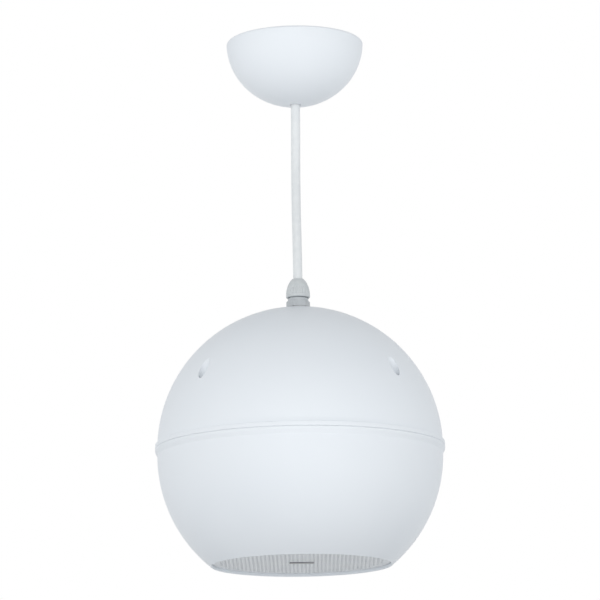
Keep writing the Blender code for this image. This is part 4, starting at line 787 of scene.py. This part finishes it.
inner_ball = turn(raised([*arc(wall_middle, pi / 2, radians(-6), 48),
                          (0.0, wall_middle * sin(radians(-6)))]), 96, closed=False)
for rods in (columns(well_places, half_gap, ball_r, well_out, 48),
             columns(studs, stud_end, ball_r, stud_r, 32)):
    carve(upper, inside(rods, inner_ball), "UNION")
inner_ball.free()
carve(upper, columns(well_places, well_floor, ball_r, well_r, 48), "DIFFERENCE")
through = 0.001
carve(upper, columns(well_places, half_gap - through, well_floor + through, pilot_r, 24),
      "DIFFERENCE")
carve(upper, columns(studs, stud_end - through, stud_end + stud_hole, pilot_r, 24), "DIFFERENCE")
true_sphere(upper, ball_r, seam)
take_place(upper, "speaker", "white_plastic", "upper_shell")

# Lower shell: the lower half, in the same white ABS. A straight band lies under the seam;
# below it the wall curves in to a smooth lip, and a throat goes up from the lip to the
# seat of the loudspeaker. Posts on webs take the screws.
band, mouth_r, lip_width, lip_proud, throat_wall = 0.0056, 0.0770, 0.0018, 0.0010, 0.0025
throat_r = mouth_r - lip_width
lip_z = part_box("lower_shell")[0][2] - seam
throat_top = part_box("driver_gasket")[0][2] - seam - clear
rebate, rebate_deep = shell_in + tongue + clear, tongue_deep + clear
throat_out = throat_r + throat_wall
post_r, post_hole, post_end, boss_r, boss_hole = 0.0060, 0.0018, 0.0040, 0.0036, 0.0017
web_in, web_t, web_top, web_high = well_circle + 0.0036, 0.0030, 0.0036, 0.0156
ball_floor = -0.1240
profile = [(rebate, -parting_gap)] + [(r, -z) for r, z in reversed(parting)]
profile += [(bead_r, -0.0016), (bead_r - 0.0003, -0.0027), (bead_r - 0.0011, -0.0042),
            (ball_r + 0.0001, -band), (ball_r, -band - 0.0003)]
profile += arc(ball_r, -radians(0.5), -acos(mouth_r / ball_r), 46, -band)
profile += [(mouth_r - lip_width * 0.35, lip_z + lip_proud * 0.30),
            (mouth_r - lip_width * 0.60, lip_z),
            (mouth_r - lip_width * 0.80, lip_z + lip_proud * 0.10),
            (throat_r, lip_z + lip_proud * 0.5), (throat_r, throat_top), (throat_out, throat_top)]
profile += arc(shell_in, -acos(throat_out / shell_in), -radians(0.6), 36, -band)
profile += [(shell_in, -rebate_deep), (rebate, -rebate_deep)]
lower = make_piece("lower_shell_visual", turn(raised(profile), 192), shell_abs)
inner_ball = turn(raised([(0.0, band), (wall_middle, band),
                          *arc(wall_middle, 0.0, -pi / 2, 48, -band)]), 96, closed=False)
screw_long, driver_flange, boss_inset = 0.0240, 0.0078, 0.0034
tip = well_floor + clear - screw_long
boss_circle = throat_r + driver_flange - boss_inset
boss_places = [(boss_circle * cos(a), boss_circle * sin(a))
               for a in [radians(45 + 90 * k) for k in range(4)]]
webs = bmesh.new()
for a in well_angles:
    size = Matrix.Diagonal((ball_r - web_in, web_t, web_high, 1.0))
    middle = Matrix.Translation(((ball_r + web_in) / 2, 0, seam - web_top - web_high / 2))
    bmesh.ops.create_cube(webs, size=1.0, matrix=Matrix.Rotation(a, 4, "Z") @ middle @ size)
bosses = columns(boss_places, ball_floor, throat_top, boss_r, 32)
carve(lower, inside(webs, inner_ball), "UNION")
carve(lower, columns(well_places, tip - post_end, -half_gap, post_r, 40), "UNION")
carve(lower, inside(bosses, inner_ball), "UNION")
inner_ball.free()
carve(lower, columns(well_places, tip - clear, through, post_hole, 24), "DIFFERENCE")
carve(lower, columns(boss_places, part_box("driver_screw_1")[0][2] - seam - clear,
                     throat_top + through, boss_hole, 24), "DIFFERENCE")
true_sphere(lower, ball_r, seam - band)
take_place(lower, "speaker", "white_plastic", "lower_shell")

# Grille: 1 mm steel sheet with round perforations in staggered rows, a folded skirt at its
# rim, powder-coated light grey. It is pushed up into the throat.
grille_z, grille_r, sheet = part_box("grille")[0][2], 0.0749, 0.0010
hole_r, pitch, rows, punched_r = 0.00115, 0.003875, 21, 0.0700
punched = Recipe("punched_sheet", Reach="Float", Rim="Float", Hole_Radius="Float", Pitch="Float",
                 Rows="Int", Thickness="Float", Finish="Material")
given = punched.given
count = punched.maths("ADD", punched.maths("MULTIPLY", given["Rows"], 2.0), 1.0)
step_x = punched.maths("MULTIPLY", given["Pitch"], sqrt(3) / 2)
spaces = punched.maths("SUBTRACT", count, 1.0)
lattice = punched.node("GeometryNodeMeshGrid", Size_X=punched.maths("MULTIPLY", step_x, spaces),
                       Size_Y=punched.maths("MULTIPLY", given["Pitch"], spaces),
                       Vertices_X=count, Vertices_Y=count)
where = punched.node("GeometryNodeInputPosition")
split = punched.group.nodes.new("ShaderNodeSeparateXYZ")
punched.group.links.new(where, split.inputs[0])
column = punched.maths("ROUND", punched.maths("DIVIDE", split.outputs[0], step_x))
odd = punched.maths("FLOORED_MODULO", column, 2.0)
shift = punched.maths("MULTIPLY", odd, punched.maths("MULTIPLY", given["Pitch"], 0.5))
lattice = punched.node("GeometryNodeSetPosition", Geometry=lattice, Offset=punched.vector(y=shift))
far = punched.node("ShaderNodeVectorMath", {"operation": "LENGTH"}, out=1, i0=where)
outside = punched.node("FunctionNodeCompare", {"operation": "GREATER_THAN"}, i0=far,
                       i1=punched.maths("SUBTRACT", given["Reach"], given["Hole Radius"]))
lattice = punched.node("GeometryNodeDeleteGeometry", Geometry=lattice, Selection=outside)
rim = punched.node("GeometryNodeCurvePrimitiveCircle", Resolution=160, Radius=given["Rim"])
hole = punched.node("GeometryNodeCurvePrimitiveCircle", Resolution=16, Radius=given["Hole Radius"])
holes = punched.node("GeometryNodeInstanceOnPoints", Points=lattice, Instance=hole)
holes = punched.node("GeometryNodeRealizeInstances", Geometry=holes)
outline = punched.node("GeometryNodeJoinGeometry", Geometry=[rim, holes])
face = punched.node("GeometryNodeFillCurve", Curve=outline)
back = punched.node("GeometryNodeExtrudeMesh", Mesh=face, Offset=punched.vector(z=1.0),
                    Offset_Scale=given["Thickness"], Individual=False)
front = punched.node("GeometryNodeFlipFaces", Mesh=face)
whole = punched.node("GeometryNodeJoinGeometry", Geometry=[back, front])
whole = punched.node("GeometryNodeMergeByDistance", Geometry=whole, Distance=1e-6)
lifted = punched.node("GeometryNodeInstanceOnPoints", Points=given["Geometry"], Instance=whole)
punched.finish(lifted)

powder = Finish("grille_powder_coat", (0.82, 0.85, 0.88), 0.5, Specular_IOR_Level=0.35)
orange_peel = powder.noise(900.0, 2.0)
powder.tint(powder.noise(60.0).ramp(0.3, 0.7), (0.81, 0.84, 0.87), (0.83, 0.86, 0.89))
powder.feed("Roughness", orange_peel * 0.15 + 0.42)
powder.relief(orange_peel, 0.00005)
disc = punched.make("grille_sheet", [(0, 0, grille_z)], powder.material,
                    Reach=punched_r, Rim=grille_r - sheet, Hole_Radius=hole_r, Pitch=pitch,
                    Rows=rows, Thickness=sheet)
take_place(disc, "speaker", "painted_grille", "grille")
rim_high, fold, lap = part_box("grille")[1][2], 0.0010, 0.0001
profile = [(grille_r - sheet, rim_high), (grille_r, rim_high), (grille_r, grille_z + fold)]
profile += [(grille_r - fold * (1 - cos(a)), grille_z + fold * (1 - sin(a)))
            for a in [pi / 2 * k / 6 for k in range(1, 7)]]
profile += [(grille_r - sheet - lap, grille_z), (grille_r - sheet - lap, grille_z + sheet)]
skirt = make_piece("grille_skirt", turn(profile, 192), powder.material)
take_place(skirt, "speaker", "painted_grille", "grille")

# Plate: a small bare plate of dark-grey anodised aluminium with round corners, stuck under
# the middle of the grille.
plate_w, plate_d, plate_t, plate_corner = 0.0205, 0.0080, 0.0005, 0.0012
plate_edge, glue = 0.0002, 0.00005
sketch = bmesh.new()
outline = []
for cx, cy, quarter in ((1, 1, 0), (-1, 1, 1), (-1, -1, 2), (1, -1, 3)):
    for k in range(7):
        a = pi / 2 * (quarter + k / 6)
        outline.append((cx * (plate_w / 2 - plate_corner) + plate_corner * cos(a),
                        cy * (plate_d / 2 - plate_corner) + plate_corner * sin(a)))
levels = ((0.0, 0.0), (0.0, plate_edge - plate_t),
          (plate_edge / 2, plate_edge / 2 - plate_t), (plate_edge, -plate_t))
rings = []
for inset, drop in levels:
    across, along = 1 - 2 * inset / plate_w, 1 - 2 * inset / plate_d
    rings.append([sketch.verts.new((x * across, y * along, grille_z - glue + drop))
                  for x, y in outline])
for upper_ring, lower_ring in zip(rings, rings[1:]):
    for n in range(len(outline)):
        m = (n + 1) % len(outline)
        sketch.faces.new((upper_ring[n], lower_ring[n], lower_ring[m], upper_ring[m]))
sketch.faces.new(rings[0])
sketch.faces.new(list(reversed(rings[-1])))
anodised = Finish("plate_anodised", (0.21, 0.22, 0.235), 0.38, 0.4)
grain = anodised.noise(1200.0, 2.0, (0.05, 1.0, 1.0))
anodised.tint(grain.ramp(0.3, 0.7), (0.195, 0.205, 0.22), (0.225, 0.235, 0.25))
anodised.feed("Roughness", grain * 0.2 + 0.28)
plate = make_piece("bare_plate", sketch, anodised.material)
take_place(plate, "speaker", "painted_grille")

# Loudspeaker basket: pressed steel, painted black, with four windows; a gasket of black
# foam lies under its rim, and a strip of phenolic board carries the two tags.
paint = Finish("basket_paint", (0.035, 0.035, 0.036), 0.45)
paint.feed("Roughness", paint.noise(300.0) * 0.2 + 0.35)
paint.relief(paint.noise(700.0, 2.0), 0.00005)
refinish(paint.material, "driver_basket")
foam = Finish("gasket_foam", (0.075, 0.075, 0.077), 0.95)
cells = foam.node("ShaderNodeTexVoronoi", {}, Vector=foam.place, Scale=1600.0)
foam.tint(cells.ramp(0.0, 0.7), (0.03, 0.03, 0.03), (0.10, 0.10, 0.10))
foam.relief(cells, 0.0002)
refinish(foam.material, "driver_gasket")
board = Finish("phenolic_board", (0.24, 0.12, 0.055), 0.55)
grain = board.noise(700.0, 3.0, (1.0, 0.2, 1.0))
board.tint(grain.ramp(0.3, 0.7), (0.20, 0.10, 0.045), (0.29, 0.15, 0.07))
refinish(board.material, "driver_tag_strip")

# Loudspeaker motor: a ferrite ring glued between two zinc-plated steel plates. It pulls the
# voice coil up and down in the gap at its middle.
ferrite = Finish("ferrite", (0.055, 0.055, 0.06), 0.55)
grit = ferrite.noise(900.0)
ferrite.tint(grit.ramp(0.3, 0.75), (0.04, 0.04, 0.043), (0.08, 0.08, 0.085))
ferrite.feed("Roughness", grit * 0.3 + 0.4)
ferrite.relief(grit, 0.00008)
refinish(ferrite.material, "driver_magnet")
refinish(zinc_plate("motor_zinc", (1.0, 1.0, 1.0)), "driver_top_plate", "driver_back_plate")

# Cone and whizzer: moulded paper pulp, nearly black, with fibres on its surface and
# pressed rings; the dust cap is a woven cloth dome, the voice coil copper wire.
pulp = Finish("cone_pulp", (0.045, 0.045, 0.045), 0.85)
fibres = pulp.noise(700.0, 6.0)
pulp.tint(fibres.ramp(0.35, 0.7), (0.032, 0.032, 0.033), (0.07, 0.07, 0.07))
pulp.feed("Roughness", fibres * 0.2 + 0.75)
pulp.relief(fibres, 0.00025)
cone_low, cone_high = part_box("driver_cone")[0][2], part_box("driver_cone")[1][2]
cone_t, neck = 0.0008, 0.0139
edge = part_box("driver_cone")[1][0]
neck_z = cone_high - cone_t
depth = neck_z - cone_low
ring_deep, rings_from, rings_to = 0.00025, 0.55, 0.92


def cone_height(r):
    """Height of the cone's front at a radius: a curved flare, with rings in its outer part."""
    share = max(0.0, (r - neck) / (edge - neck))
    ripple = ring_deep * sin((share - rings_from) * 60.0) if rings_from < share < rings_to else 0.0
    return neck_z - depth * share**0.75 + ripple


radii = [neck + (edge - neck) * (k / 60) ** 1.3 for k in range(61)]
front = [(r, cone_height(r)) for r in reversed(radii)]
back = [(r, cone_height(r) + cone_t) for r in radii]
cone = make_piece("driver_cone_visual", turn(back + front, 128), pulp.material)
take_place(cone, "cone", "cone_paper", "driver_cone")

whizzer_r, whizzer_depth = 0.0290, 0.0200
start = neck_z - 2 * cone_t
radii = [neck + clear + (whizzer_r - neck) * k / 30 for k in range(31)]
curve = [(r, start - whizzer_depth * (k / 30) ** 0.6) for k, r in enumerate(radii)]
profile = [(r + cone_t, z) for r, z in curve] + [(r, z) for r, z in reversed(curve)]
whizzer = make_piece("driver_whizzer_visual", turn(rounded(profile, 0.0003, 2), 96), pulp.material)
take_place(whizzer, "cone", "cone_paper", "driver_whizzer")

cloth = Finish("cap_cloth", (0.05, 0.05, 0.052), 0.9)
weave = (cloth.x * 6500.0).sine() * (cloth.y * 6500.0).sine()
cloth.tint(weave.ramp(-1.0, 1.0), (0.025, 0.025, 0.026), (0.085, 0.085, 0.088))
cloth.relief(weave, 0.00008)
coil_r, cap_depth = 0.0136, 0.0060
cap_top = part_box("driver_dust_cap")[1][2]
dome = [(coil_r * cos(a), cap_top - cap_depth * sin(a))
        for a in [pi / 2 * k / 16 for k in range(17)]]
inner = [(r * (1 - cone_t / coil_r), z + cone_t) for r, z in dome]
inner[0] = (inner[0][0], cap_top)
cap = make_piece("driver_dust_cap_visual", turn([*reversed(inner), *dome], 72, closed=False),
                 cloth.material)
take_place(cap, "cone", "cap_cloth", "driver_dust_cap")

copper = Finish("coil_copper", (0.62, 0.27, 0.13), 0.35, 1.0)
windings = (copper.z * 22000.0).sine()
copper.tint(windings.ramp(-1.0, 1.0), (0.45, 0.18, 0.08), (0.70, 0.33, 0.17))
copper.relief(windings, 0.00006)
refinish(copper.material, "driver_voice_coil")


# Surround: a half roll of black butyl rubber that holds the cone's edge and flexes as it
# travels. It is made in slices, each of which reaches from the basket's rim to the cone.
def slice_of(profile, start, sweep, steps):
    """A closed slice of a turned piece, steps facets wide, from the angle start on."""
    sketch = bmesh.new()
    rings = [[sketch.verts.new((r * cos(a), r * sin(a), z)) for r, z in profile]
             for a in [start + sweep * k / steps for k in range(steps + 1)]]
    for near, far in zip(rings, rings[1:]):
        for n in range(len(profile)):
            m = (n + 1) % len(profile)
            sketch.faces.new((near[n], near[m], far[m], far[n]))
    sketch.faces.new(list(reversed(rings[0])))
    sketch.faces.new(rings[-1])
    bmesh.ops.recalc_face_normals(sketch, faces=sketch.faces)
    return sketch


butyl = Finish("surround_rubber", (0.03, 0.03, 0.031), 0.6, Specular_IOR_Level=0.4)
butyl.feed("Roughness", butyl.noise(400.0) * 0.2 + 0.5)
butyl.relief(butyl.noise(1500.0, 2.0), 0.00003)
rim_r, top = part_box("driver_surround")[1][0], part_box("driver_surround")[1][2]
clamped, glued, roll_r, rubber_t = 0.0044, 0.0034, 0.0046, 0.0006
roll_out = rim_r - clamped
roll_middle, roll_in = roll_out - roll_r, roll_out - 2 * roll_r
slices, facets = 16, 12
profile = [(rim_r, top), (rim_r, top - rubber_t)]
profile += [(roll_middle + r, z) for r, z in arc(roll_r, 0.0, -pi, 24, top - rubber_t)]
profile += [(roll_in - glued, top - rubber_t), (roll_in - glued, top)]
profile += [(roll_middle + r, z) for r, z in arc(roll_r - rubber_t, -pi, 0.0, 24, top)]
width = tau / slices
for k in range(slices):
    surround = make_piece(f"driver_surround_{k + 1}", slice_of(profile, k * width, width, facets),
                          butyl.material)
    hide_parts("driver_surround")
    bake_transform(surround)

# Spider: a corrugated disc of woven cloth, stiffened with resin. It centres the cone's
# neck, and the voice coil on it, in the motor's gap.
treated = Finish("spider_cloth", (0.58, 0.38, 0.13), 0.85)
weave = (treated.x * 4500.0).sine() * (treated.y * 4500.0).sine()
treated.tint(weave.ramp(-1.0, 1.0), (0.42, 0.25, 0.08), (0.66, 0.46, 0.19))
treated.relief(weave, 0.0001)
refinish(treated.material, "driver_spider")

# Line transformer: a stack of thin iron sheets, a nylon bobbin wound with wire under
# yellow tape, and a folded zinc-plated frame whose feet are screwed to two studs.
iron = Finish("laminated_iron", (0.20, 0.20, 0.21), 0.5, 1.0)
sheets = (iron.y * 12566.0).sine()
iron.tint(sheets.ramp(-1.0, 0.2), (0.08, 0.08, 0.085), (0.26, 0.26, 0.27))
iron.relief(sheets, 0.0001)
refinish(iron.material, "transformer_core")
refinish(nylon("bobbin_nylon", (0.66, 0.65, 0.60)), "transformer_bobbin")
tape = Finish("winding_tape", (0.70, 0.52, 0.08), 0.35)
laps = (tape.z * 900.0).sine()
tape.tint(laps.ramp(-1.0, 1.0), (0.64, 0.46, 0.06), (0.74, 0.56, 0.10))
tape.relief(laps, 0.00008)
refinish(tape.material, "transformer_winding")
refinish(zinc_plate("frame_zinc"), "transformer_frame")

# Floor of the studio, far below the ball: plain and pale, and it keeps the ball's shadow.
# It is part of the stage, not of the speaker.
sketch = bmesh.new()
bmesh.ops.create_grid(sketch, x_segments=1, y_segments=1, size=8.0,
                      matrix=Matrix.Translation((0, 0, -4.2)))
floor_paint = Finish("studio_floor", (0.92, 0.92, 0.92), 0.9)
floor_paint.feed("Roughness", floor_paint.noise(2.0) * 0.05 + 0.87)
floor = make_piece("studio_floor", sketch, floor_paint.material)
